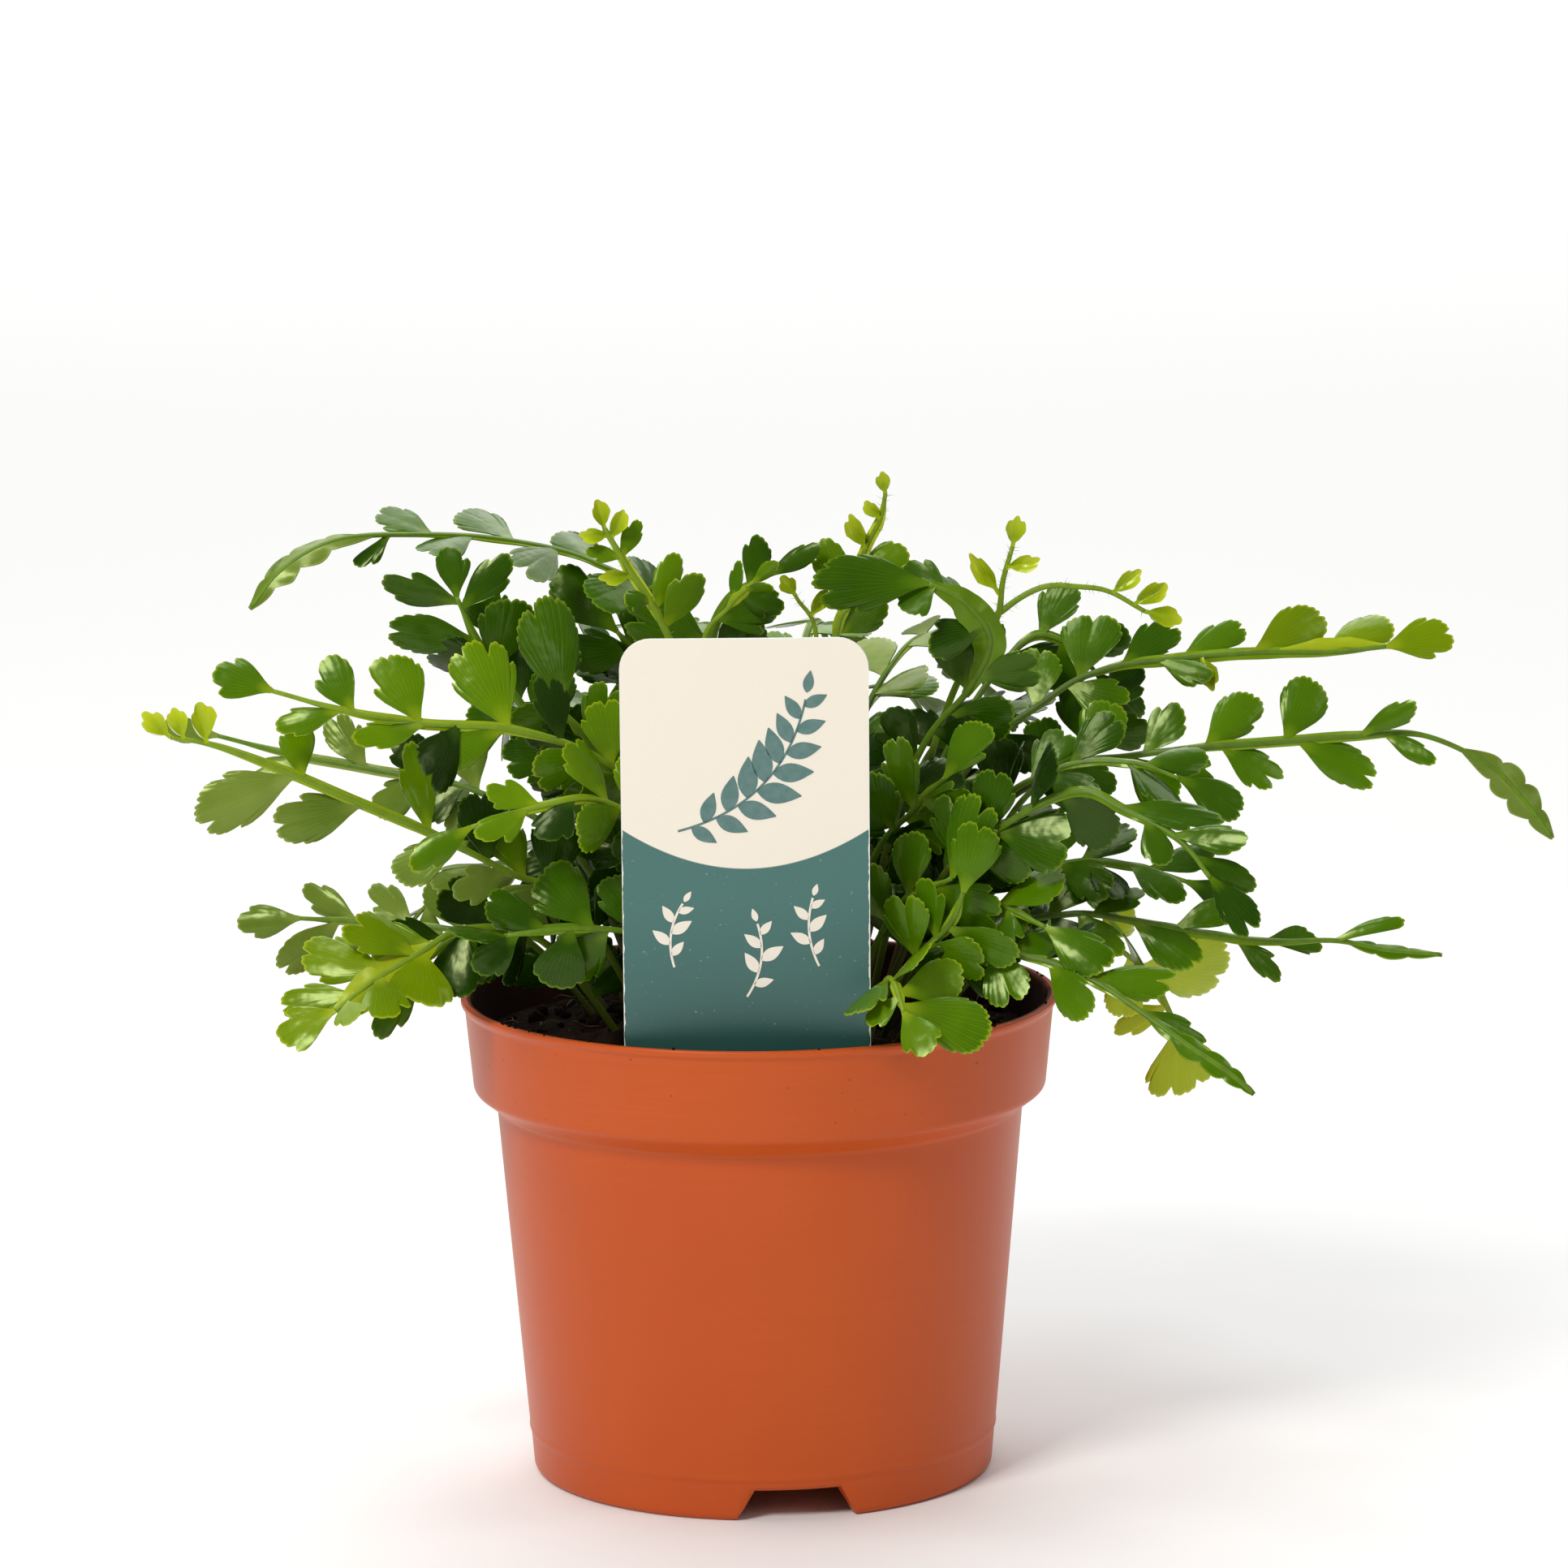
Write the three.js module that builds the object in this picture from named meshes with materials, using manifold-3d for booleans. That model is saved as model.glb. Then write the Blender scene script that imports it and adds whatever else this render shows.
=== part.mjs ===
// A potted fern with arching fronds of fan-shaped leaflets, in a 12 cm plastic nursery pot with a card label.
// Millimetres, +Z up. The origin is the middle of the pot's underside and the label faces -Y.
import * as THREE from "three";
import { mergeVertices } from "three/addons/utils/BufferGeometryUtils.js";
import Module from "manifold-3d";

const wasm = await Module();
wasm.setup();

// Driving dimensions of the pot
const lipRadius = 60;
const potHeight = 97;
const bandTop = 59.2;
const bandFoot = 57.6;
const bandHeight = 18.5;
const bodyTop = 53;
const bodyFoot = 47.4;
const wall = 1.2;
const channelHeight = 6.5;
const channelInner = 24;
const channelOuter = 40.5;
const padRadius = 20;
const potSegments = 32;
const notchCount = 3;
const notchBearing = -81.3;
const notchTopWidth = 17;
const notchFootWidth = 24;
const notchHeight = 6.3;
const drainCount = 6;
const drainRadius = 3.5;
const drainRing = 32.5;

// Driving dimensions of the soil, the label and their clearances
const gap = 0.3;
const soilEdge = 88;
const soilMiddle = 92.5;
const labelWidth = 47.8;
const labelCentre = -2.1;
const labelTop = 176.7;
const labelShoulder = 90;
const labelCorner = 6;
const labelThickness = 0.8;
const labelLean = 3.3;
const labelRimY = -48.5;
const stakeWidth = 18;
const stakeFoot = 50;

// Driving dimensions of the fronds
const rootDepth = 84;
const bladeThickness = 0.65;
const neckWidth = 1.3;
const stemRadius = 0.8;
const strapStep = 0.3;
const stemStep = 0.88;
const notchDepth = 0.84;

// Colours of the finishes
const tones = {
  deep: 0x2f5d14,
  mid: 0x47821a,
  bright: 0x6f9f1c,
  yellow: 0x93aa24,
  young: 0xa4b62c,
  dull: 0x5d7d3c,
};

// The fronds that the front of the plant shows. path holds the stem's points from the soil to the tip.
// facing is the side that the blade turns to. A leaf holds its place along the path in points, its length,
// its width and its swing from the stem's direction in degrees, anticlockwise as the facing side sees it.
// A bud holds its place, the length of its stalk, its radius and its swing. A strap is a stretch of the
// path where the leaflets run together: its first and last place and its half width.
const front = [-0.05, -1, 0.3];
const fronds = [
  {
    name: "frond_left_over", tone: "mid", facing: [0.35, -0.35, 1],
    path: [[-6, 6], [-9, 10, 138], [-18, 12, 172], [-33, 12, 183], [-50, 8, 188], [-66, 2, 190],
      [-82, -4, 190], [-93, -8, 185], [-100, -10, 177]],
    leaves: [[2.4, 14, 12, 62], [2.9, 15, 12, -58], [3.4, 15, 12, 56], [3.9, 15, 11, -54],
      [4.4, 14, 10, 32], [4.9, 13, 10, -48], [5.4, 11, 7, 22]],
    strap: [5.6, 8, 3.4],
  },
  {
    name: "frond_left_bright", tone: "bright", facing: front,
    path: [[-10, -18], [-18, -28, 135], [-30, -34, 150], [-47, -40, 157], [-64, -44, 159],
      [-79, -46, 162], [-93, -46, 166]],
    leaves: [[3.05, 19, 15, -60], [4.05, 15, 12, -58], [4.9, 12, 9, -50], [6, 12, 10, -6],
      [5.05, 13, 7, 24], [4.0, 18, 9, 20], [3.1, 17, 10, 28], [2.1, 13, 10, 50]],
  },
  {
    name: "frond_left_curled", tone: "bright", facing: front,
    path: [[-18, -8], [-35, -22, 118], [-49, -28, 127], [-64, -34, 136], [-78, -38, 143],
      [-92, -42, 150], [-104, -44, 155], [-113, -45, 157]],
    leaves: [[4.7, 12, 8, -60], [3.0, 18, 8, -55], [4.8, 21, 13, 46], [3.9, 18, 11, 36], [2.0, 12, 9, 45]],
    buds: [[6.2, 5, 2.7, -64], [6.7, 4, 2.2, -62], [7, 4.5, 2.4, -30]],
  },
  {
    name: "frond_left_back", tone: "dull", facing: front, lower: 1,
    path: [[-20, 8], [-36, 14, 122], [-57, 20, 135], [-78, 24, 139], [-95, 26, 142], [-110, 26, 146]],
    leaves: [[2.0, 15, 11, -48], [2.5, 13, 9, 42], [3.1, 13, 9, -46], [3.8, 13, 8, 34], [5, 12, 6, 4]],
  },
  {
    name: "frond_left_low", tone: "dull", facing: front, lower: 1,
    path: [[-25, 8], [-43, 16, 104], [-61, 22, 106], [-80, 26, 107], [-94, 26, 108]],
    leaves: [[2.5, 14, 8, -36], [3.15, 14, 7, -28], [4, 13, 8, 8], [3.4, 16, 9, 46], [2.2, 13, 9, 46]],
  },
  {
    name: "frond_left_yellow", tone: "yellow", facing: [-0.1, -1, 0.55], lower: 1,
    path: [[-24, -8], [-42, -20, 111], [-57, -29, 116], [-66, -36, 112.5], [-75, -42, 108],
      [-82, -48, 103.5]],
    leaves: [[5, 12, 11, -22], [3.7, 18, 12, -57], [3.1, 15, 12, -60], [4.45, 15, 9, -42],
      [2.95, 11, 15, 52], [3.85, 10, 12, 60], [4.7, 7, 8, 50]],
  },
  {
    name: "frond_left_hanging", tone: "deep", facing: front,
    path: [[-27, 0], [-46, -2, 108], [-60, -8, 110], [-68, -14, 105]],
    leaves: [[3, 16, 8, 22], [2.2, 13, 9, -38], [1.7, 12, 9, 46]],
  },
  {
    name: "frond_left_dark", tone: "deep", facing: [0, -1, 0.4],
    path: [[-8, -30], [-13, -38, 110], [-23, -43, 117], [-36, -46, 119], [-49, -48, 118]],
    leaves: [[3.0, 12, 12, 76], [3.8, 11, 8, 36], [4, 15, 10, -4], [3.4, 13, 9, -36], [2.7, 15, 14, -50]],
  },
  {
    name: "frond_left_pointed", tone: "bright", facing: [0, -1, 0.6],
    path: [[-14, -22], [-19, -36, 130], [-29, -42, 143], [-43, -48, 143], [-55, -52, 140]],
    leaves: [[4, 14, 7, 14], [3.1, 13, 8, 26], [2.0, 14, 13, -46], [2.9, 11, 8, -34]],
  },
  {
    name: "frond_left_upright", tone: "deep", facing: front,
    path: [[-14, 2], [-30, -4, 135], [-45, -8, 155], [-54, -10, 168], [-59, -10, 179]],
    leaves: [[4, 10, 8, -18], [3.8, 14, 8, -66], [3.9, 16, 8, 50], [3.2, 18, 9, 56], [2.7, 15, 13, -48],
      [2.0, 13, 10, 56]],
  },
  {
    name: "frond_left_fan", tone: "mid", facing: front,
    path: [[-12, -10], [-22, -18, 131], [-32, -24, 150], [-38, -26, 159]],
    leaves: [[3, 22, 16, -30], [2.7, 12, 7, 50], [2.1, 13, 11, -52], [1.8, 13, 11, 52]],
  },
  {
    name: "frond_left_inner", tone: "deep", facing: front, lower: 1,
    path: [[-12, 4], [-28, 0, 135], [-42, 2, 157], [-50, 2, 168]],
    leaves: [[3, 13, 11, -10], [2.3, 13, 10, 52], [2.0, 13, 10, -52], [1.6, 13, 10, 50]],
  },
  {
    name: "crozier_left", tone: "young", facing: front, thick: 1.25, lower: 0,
    path: [[-4, -14], [-7, -24, 144], [-15, -30, 169], [-20, -31, 180], [-25, -31, 188], [-29, -31, 195]],
    leaves: [[2.9, 12, 6, -52], [2.5, 13, 8, -58], [4.2, 8, 4.5, -58], [4.2, 7, 4, 50], [3.1, 7, 5, 50]],
    buds: [[4.7, 4.5, 1.8, -52], [5, 4, 1.9, -14], [4.8, 4, 1.7, 56], [3.7, 5, 1.7, 58]],
  },
  {
    name: "frond_top_middle", tone: "deep", facing: front,
    path: [[0, 8], [-5, 6, 145], [-9, 2, 166], [-5, 0, 177], [3, -3, 182]],
    leaves: [[4, 12, 5, 2], [3.5, 10, 7, 52], [3.2, 10, 7, -60], [2.5, 12, 10, -56], [2.05, 19, 14, 60],
      [1.6, 15, 12, -52]],
  },
  {
    name: "young_top_left", tone: "bright", facing: front, thick: 0.85, lower: 0,
    path: [[2, -24], [-3, -31, 145], [-10, -34, 171], [-5, -35, 180], [0, -36, 185]],
    leaves: [[3.2, 8, 3.5, 40], [3.7, 7, 3.2, -38], [4, 6, 3.2, 0]],
  },
  {
    name: "crozier_middle", tone: "young", facing: front, thick: 0.85, lower: 0,
    path: [[6, -20], [9, -26, 144], [12, -27, 172], [8, -27, 181]],
    buds: [[3, 3, 1.9, 10], [2.4, 4.5, 1.6, -60]],
  },
  {
    name: "young_top_short", tone: "bright", facing: front, lower: 0,
    path: [[10, -10], [13, -14, 147], [16, -15, 172], [19, -15, 178]],
    leaves: [[3, 8, 5, 0], [2.5, 8, 5, 45], [2.0, 12, 9, -50]],
  },
  {
    name: "crozier_tall", tone: "young", facing: front, thick: 0.85, lower: 0,
    path: [[8, 2], [13, 0, 150], [18, -2, 176], [22, -3, 187], [25, -3, 193], [26, -3, 198]],
    leaves: [[2.5, 11, 8, -46], [2.1, 12, 8, 44]],
    buds: [[3.0, 5.5, 2.0, 46], [4.0, 3, 1.5, 60], [5, 2.8, 1.6, 20]],
  },
  {
    name: "frond_top_leaf", tone: "deep", facing: [0.1, -1, 0.5],
    path: [[15, -4], [30, -12, 142], [42, -18, 161], [46, -21, 171], [41, -24, 179], [34, -26, 183]],
    leaves: [[5, 23, 13, 20], [4.5, 13, 9, -26], [3.9, 13, 8, -20], [4.85, 8, 8, 60],
      [3.35, 12, 9, 74], [2.2, 13, 10, -52]],
  },
  {
    name: "crozier_arching", tone: "young", facing: front, lower: 0,
    path: [[20, 2], [34, -4, 143], [44, -8, 169], [50, -9, 176], [57, -10, 180], [64, -10, 180],
      [70, -10, 179], [77, -10, 175]],
    twigs: [[[44, -8, 169], [48, -9, 174], [49, -9, 181], [51, -9, 188]]],
    buds: [[7, 5, 2.3, 14], [6.7, 5, 2.2, 64], [6.1, 5, 1.9, 62]],
    twigBuds: [[3, 4, 2.2, 5], [2.4, 5, 1.9, -58], [1.6, 8.5, 2.0, 38]],
  },
  {
    name: "frond_right_over", tone: "mid", facing: [0, -0.95, 0.5],
    path: [[22, 8], [40, 12, 136], [59, 14, 154], [71, 14, 160], [86, 14, 162], [101, 14, 163],
      [116, 14, 163], [127, 14, 164]],
    leaves: [[2.5, 15, 14, 56], [3.2, 14, 9, 28], [4.0, 15, 9, 26], [4.95, 17, 11, 28], [5.9, 16, 11, 28],
      [7, 14, 10, 8], [3.7, 12, 7, -30]],
    buds: [[4.25, 6, 2.2, -78]],
  },
  {
    name: "frond_right_long", tone: "mid", facing: front,
    path: [[27, 0], [42, -4, 127], [60, -8, 143], [74, -10, 146], [89, -12, 148], [104, -12, 149],
      [119, -12, 150], [132, -12, 150], [145, -12, 144], [152, -12, 137], [158, -12, 129]],
    leaves: [[4, 15, 10, 42], [5.05, 14, 11, 60], [6.05, 13, 6, 22], [4.2, 14, 9, -36], [5.2, 18, 9, -32],
      [6.4, 12, 4.5, -34], [3.2, 12, 9, 46], [3.5, 12, 8, -44]],
    strap: [7.6, 10, 3.6],
  },
  {
    name: "frond_right_bowed", tone: "deep", facing: front, lower: 1,
    path: [[18, 14], [36, 20, 137], [53, 24, 163], [63, 24, 164], [69, 22, 158]],
    leaves: [[4, 13, 9, 0], [3.2, 12, 9, 50], [2.9, 12, 9, -62], [2.4, 13, 10, 58], [1.9, 13, 10, -56]],
  },
  {
    name: "frond_right_inner", tone: "deep", facing: front, lower: 1,
    path: [[30, 8], [50, 14, 128], [65, 18, 142], [70, 18, 151]],
    leaves: [[3, 12, 9, -12], [2.4, 12, 9, -60], [2.2, 12, 9, 50], [1.7, 12, 9, -50]],
  },
  {
    name: "frond_right_dark", tone: "deep", facing: [0.05, -1, 0.5],
    path: [[18, -22], [35, -32, 124], [49, -40, 138], [62, -46, 145], [71, -50, 142], [81, -54, 137],
      [87, -58, 130]],
    leaves: [[1.8, 16, 15, -34], [2.9, 14, 9, -52], [4.4, 10, 7, -44], [3.9, 20, 8, 22], [4.9, 15, 7, 26],
      [5.5, 13, 6, 30], [6, 14, 9, 0], [1.7, 13, 11, 52]],
  },
  {
    name: "frond_right_low", tone: "mid", facing: [0, -0.8, 0.8],
    path: [[30, -10], [46, -16, 110], [61, -20, 116], [74, -22, 115], [86, -24, 113], [100, -24, 111],
      [114, -24, 111], [124, -24, 109], [135, -24, 108]],
    leaves: [[5.0, 14, 7, 20], [6.0, 14, 5, 10], [3.0, 16, 9, -28], [2.4, 12, 8, 46], [3.7, 13, 7, 28],
      [4.6, 12, 6, -26]],
    strap: [6.2, 8, 1.7],
  },
  {
    name: "frond_right_edge", tone: "mid", facing: [0.1, -1, 0.7],
    path: [[23, -24], [39, -36, 111], [53, -44, 112], [64, -50, 109], [73, -55, 104], [82, -60, 98],
      [90, -63, 93], [95, -65, 89]],
    leaves: [[2.3, 14, 10, -34], [3.0, 17, 9, 30], [4.1, 14, 6, 20], [1.7, 13, 9, 46]],
    strap: [4.2, 7, 2.3],
  },
  {
    name: "frond_right_pale", tone: "yellow", facing: [0.05, -1, 0.35],
    path: [[31, 10], [51, 24, 101], [68, 36, 101], [79, 43, 93], [87, 47, 80]],
    leaves: [[4, 17, 19, -22], [3.0, 25, 17, 38], [3.7, 12, 7, -96]],
  },
  {
    name: "frond_front_clover", tone: "bright", facing: [0, -1, 0.45],
    path: [[19, -34], [24, -47, 106], [26, -56, 110], [28, -62, 105]],
    leaves: [[2.8, 18, 13, 61], [2.5, 14, 10, 96], [3, 11, 9, 8], [2.6, 8, 7, -70], [2.2, 19, 9, -20]],
  },
  {
    name: "frond_front_oval", tone: "mid", facing: [0, -1, 0.2],
    path: [[14, -28], [28, -38, 108], [37, -43, 118], [40, -44, 125]],
    leaves: [[3, 14, 11, 10], [2.0, 15, 9, -76], [1.7, 12, 9, 62]],
  },
  {
    name: "frond_front_fan", tone: "mid", facing: [0, -1, 0.2],
    path: [[12, -20], [26, -33, 118], [38, -39, 127]],
    leaves: [[2, 17, 13, 42], [1.7, 15, 12, -48], [1.3, 13, 10, 56]],
  },
  {
    name: "frond_front_right", tone: "mid", facing: [0.1, -1, 0.4],
    path: [[22, -16], [35, -28, 117], [46, -36, 121], [56, -44, 118]],
    leaves: [[3, 15, 11, -6], [2.3, 14, 11, -60], [2.1, 15, 12, 40], [1.5, 13, 10, -60]],
  },
  {
    name: "frond_inner_cup", tone: "mid", facing: [-0.2, -1, 0.1],
    path: [[10, -12], [22, -18, 125], [31, -24, 138], [37, -28, 145]],
    leaves: [[3, 14, 10, 10], [2.2, 14, 12, -44], [2.0, 15, 11, 56]],
  },
  {
    name: "frond_right_middle", tone: "deep", facing: [0, -0.7, 0.8], lower: 1,
    path: [[28, -4], [44, -10, 116], [60, -14, 125], [74, -16, 125], [85, -18, 122]],
    leaves: [[4, 13, 8, 0], [3.3, 14, 8, 36], [3.0, 14, 8, -36], [2.3, 14, 10, 46], [2.0, 14, 10, -46]],
  },
  {
    name: "frond_right_upper", tone: "deep", facing: [0, -0.7, 0.8], lower: 1,
    path: [[24, -6], [44, -14, 132], [59, -20, 145], [73, -24, 147], [83, -26, 144]],
    leaves: [[4, 14, 9, -4], [3.3, 13, 8, 36], [3.0, 14, 9, -36], [2.2, 14, 10, 44], [1.9, 14, 10, -50]],
  },
  {
    name: "frond_left_behind", tone: "deep", facing: front, lower: 1,
    path: [[-11, 9], [-15, 12, 138], [-22, 16, 160], [-28, 17, 168]],
    leaves: [[3, 18, 12, 10], [2.6, 13, 10, -56], [2.4, 14, 11, 52]],
  },
];

// The fronds of the far side follow a rule: they fan out round the back in three tiers.
const backCount = 13;
const backTiers = [
  { root: 27, reach: 1.0, heights: [110, 119, 116, 102] },
  { root: 20, reach: 0.9, heights: [128, 146, 147, 134] },
  { root: 12, reach: 0.7, heights: [140, 160, 163, 152] },
];
const backTones = ["mid", "deep", "dull", "mid", "deep"];
for (let i = 0; i < backCount; i++) {
  const tier = backTiers[i % backTiers.length];
  const bearing = THREE.MathUtils.degToRad(18 + (142 * i) / (backCount - 1));
  const across = Math.cos(bearing);
  const away = Math.sin(bearing);
  const reach = tier.reach * (76 + 30 * away * away);
  const place = (r, z) => [Math.round(r * across), Math.round(r * away + 8), z];
  fronds.push({
    name: "frond_back_" + String(i + 1).padStart(2, "0"),
    tone: backTones[i % backTones.length],
    facing: [-0.5 * across, -0.5 * away, 1],
    lower: 1,
    path: [
      place(tier.root, rootDepth),
      place(0.36 * reach + 0.3 * tier.root, tier.heights[0]),
      place(0.62 * reach, tier.heights[1]),
      place(0.82 * reach, tier.heights[2]),
      place(reach, tier.heights[3]),
    ],
    leaves: [
      [4, 14, 10, 0],
      [3.5, 12, 9, 48],
      [3.2, 13, 9, -48],
      [2.6, 14, 10, 52],
      [2.2, 14, 10, -52],
      [1.7, 14, 11, 52],
    ],
  });
}

// A seeded row of numbers from 0 to 1, the same on every run
function seededRow(seed) {
  let state = seed;
  return () => {
    state = (state * 16807) % 2147483647;
    return state / 2147483647;
  };
}

// A closed three.js geometry as a solid that can be joined and cut
function solidOf(geometry) {
  const plain = geometry.index ? geometry.toNonIndexed() : geometry;
  plain.deleteAttribute("normal");
  plain.deleteAttribute("uv");
  const merged = mergeVertices(plain, 1e-4);
  return new wasm.Manifold(
    new wasm.Mesh({
      numProp: 3,
      vertProperties: new Float32Array(merged.attributes.position.array),
      triVerts: new Uint32Array(merged.index.array),
    }),
  );
}

// A named mesh from a solid, with its own material
function meshOf(solid, name, colour, roughness) {
  const { vertProperties, triVerts } = solid.getMesh();
  const geometry = new THREE.BufferGeometry();
  geometry.setAttribute("position", new THREE.BufferAttribute(vertProperties, 3));
  geometry.setIndex(new THREE.BufferAttribute(triVerts, 1));
  geometry.computeVertexNormals();
  const material = new THREE.MeshStandardMaterial({ color: colour, roughness, metalness: 0 });
  const mesh = new THREE.Mesh(geometry, material);
  mesh.name = name;
  return mesh;
}

// Pot: a turned shell with a wide band under the lip and a raised drain channel in its floor
function potSolid() {
  const bandBase = potHeight - bandHeight;
  const stepBase = bandBase - 3.5;
  const floorTop = channelHeight + 1.5;
  const profile = [
    [0, 0],
    [padRadius, 0],
    [channelInner, channelHeight],
    [channelOuter, channelHeight],
    [bodyFoot - 3.2, 0],
    [bodyFoot - 1.7, 0],
    [bodyFoot - 0.9, 0.9],
    [bodyFoot, 8],
    [bodyTop, stepBase],
    [bandFoot, bandBase],
    [bandTop, potHeight - 2],
    [lipRadius, potHeight - 1],
    [lipRadius, potHeight],
    [bandTop - wall, potHeight],
    [bandFoot - wall, bandBase + 1],
    [bodyTop - wall, stepBase + 1],
    [bodyFoot - wall, floorTop + 2],
    [channelOuter, floorTop],
    [channelInner + 1, floorTop],
    [padRadius + 1, 1.5],
    [0, 1.5],
  ].map(([r, z]) => new THREE.Vector2(r, z));
  const shell = new THREE.LatheGeometry(profile, potSegments).rotateX(Math.PI / 2);
  let pot = solidOf(shell);

  const outline = new THREE.Shape();
  outline.moveTo(-notchFootWidth / 2, -1);
  outline.lineTo(notchFootWidth / 2, -1);
  outline.lineTo(notchFootWidth / 2, 0);
  outline.lineTo(notchTopWidth / 2, notchHeight);
  outline.lineTo(-notchTopWidth / 2, notchHeight);
  outline.lineTo(-notchFootWidth / 2, 0);
  for (let i = 0; i < notchCount; i++) {
    const cutter = new THREE.ExtrudeGeometry(outline, { depth: 12, bevelEnabled: false });
    cutter.rotateX(Math.PI / 2).translate(0, 52, 0).rotateZ(-Math.PI / 2);
    cutter.rotateZ(THREE.MathUtils.degToRad(notchBearing + (360 / notchCount) * i));
    pot = pot.subtract(solidOf(cutter));
  }
  for (let i = 0; i < drainCount; i++) {
    const hole = new THREE.CylinderGeometry(drainRadius, drainRadius, 8, 10).rotateX(Math.PI / 2);
    hole.translate(drainRing, 0, channelHeight + 1).rotateZ(((i + 0.5) * 2 * Math.PI) / drainCount);
    pot = pot.subtract(solidOf(hole));
  }
  return pot;
}

// Soil: it fills the pot to just under the rim and rises a little round the crown
function soilSolid() {
  const bandBase = potHeight - bandHeight;
  const floorTop = channelHeight + 1.5;
  const inner = wall + gap;
  const profile = [
    [0, 1.5 + gap],
    [padRadius + 0.8, 1.5 + gap],
    [channelInner + 0.8, floorTop + gap],
    [channelOuter - 0.3, floorTop + gap],
    [bodyFoot - inner - 0.1, floorTop + 2 + gap],
    [bodyTop - inner, bandBase - 2.1],
    [bandFoot - inner, bandBase + 1.4],
    [bandFoot - inner + 0.5, soilEdge],
    [44, soilEdge + 1.4],
    [26, soilMiddle - 1],
    [0, soilMiddle],
  ].map(([r, z]) => new THREE.Vector2(r, z));
  const body = new THREE.LatheGeometry(profile, potSegments).rotateX(Math.PI / 2);
  const place = body.attributes.position;
  for (let i = 0; i < place.count; i++) {
    const x = place.getX(i);
    const y = place.getY(i);
    const inside = Math.hypot(x, y) < 50 && place.getZ(i) > soilEdge;
    const bump = 0.9 * Math.sin(0.31 * x + 0.6) * Math.cos(0.27 * y - 0.4);
    if (inside) place.setZ(i, place.getZ(i) + bump);
  }
  return solidOf(body);
}

// Label: a flat card with round top corners, narrowed to a pointed stake below the soil
function labelSolid(spare) {
  const half = labelWidth / 2 + spare;
  const stake = stakeWidth / 2 + spare;
  const top = labelTop - labelShoulder + spare;
  const foot = stakeFoot - labelShoulder - spare;
  const outline = new THREE.Shape();
  outline.moveTo(0, foot);
  outline.lineTo(stake, foot + 10);
  outline.lineTo(stake, -5 - spare);
  outline.lineTo(half, -spare);
  outline.lineTo(half, top - labelCorner);
  outline.absarc(half - labelCorner, top - labelCorner, labelCorner, 0, Math.PI / 2);
  outline.absarc(labelCorner - half, top - labelCorner, labelCorner, Math.PI / 2, Math.PI);
  outline.lineTo(-half, -spare);
  outline.lineTo(-stake, -5 - spare);
  outline.lineTo(-stake, foot + 10);
  const depth = labelThickness + 2 * spare;
  const card = new THREE.ExtrudeGeometry(outline, { depth, bevelEnabled: false, curveSegments: 5 });
  card.translate(0, 0, -depth / 2);
  card.rotateX(Math.PI / 2 + THREE.MathUtils.degToRad(labelLean));
  card.translate(labelCentre, labelRimY, labelShoulder);
  return solidOf(card);
}

// The directions at a place on a path: along the stem, out of the blade's face, and across the blade
function directionsAt(stem, at) {
  const t = THREE.MathUtils.clamp(at / stem.spans, 0, 1);
  const before = stem.curve.getPoint(Math.max(0, t - 1e-4));
  const along = stem.curve.getPoint(Math.min(1, t + 1e-4)).sub(before).normalize();
  const out = new THREE.Vector3(...stem.facing);
  out.addScaledVector(along, -out.dot(along)).normalize();
  const across = new THREE.Vector3().crossVectors(out, along);
  return { point: stem.curve.getPoint(t), along, out, across };
}

// How many millimetres of stem one step of a path's places covers
function paceAt(stem, at) {
  const reach = 0.02;
  const low = stem.curve.getPoint(Math.max(0, at - reach) / stem.spans);
  const high = stem.curve.getPoint(Math.min(stem.spans, at + reach) / stem.spans);
  return low.distanceTo(high) / (2 * reach);
}

// Four corners of the stem at a place. Where the leaflets run together near the tip the stem widens
// into a thin ribbon with rounded teeth.
function ringAt(stem, at, spare) {
  const spot = directionsAt(stem, at);
  const share = at / stem.spans;
  let wide = stem.radius * (1 - 0.35 * share) + spare;
  let deep = wide;
  if (stem.strap && at > stem.strap[0]) {
    const [from, to, halfWidth] = stem.strap;
    const run = (at - from) / (to - from);
    const tooth = Math.round((at - from) / strapStep) % 2 ? 1 : 0.7;
    const taper = Math.min(1, 0.25 + 2.5 * run) * Math.min(1, 0.18 + 2.1 * (1 - run));
    wide = Math.max(halfWidth * tooth * taper, 0.45) + spare;
    deep = bladeThickness / 2 + spare;
  }
  return [[1, 1], [-1, 1], [-1, -1], [1, -1]].map(([side, face]) =>
    spot.point.clone().addScaledVector(spot.across, side * wide).addScaledVector(spot.out, face * deep),
  );
}

// Where a leaf stands: its own axes, swung from the stem, lifted out of the blade and twisted on itself
function leafFrame(spot, swing, lift, twist) {
  const rad = THREE.MathUtils.degToRad;
  const flat = spot.along.clone().multiplyScalar(Math.cos(rad(swing)));
  flat.addScaledVector(spot.across, Math.sin(rad(swing)));
  const axis = flat.clone().multiplyScalar(Math.cos(rad(lift)));
  axis.addScaledVector(spot.out, Math.sin(rad(lift)));
  const face = spot.out.clone().multiplyScalar(Math.cos(rad(lift)));
  face.addScaledVector(flat, -Math.sin(rad(lift)));
  face.applyAxisAngle(axis, rad(twist));
  const side = new THREE.Vector3().crossVectors(face, axis);
  return new THREE.Matrix4().makeBasis(axis, side, face).setPosition(spot.point);
}

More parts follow.
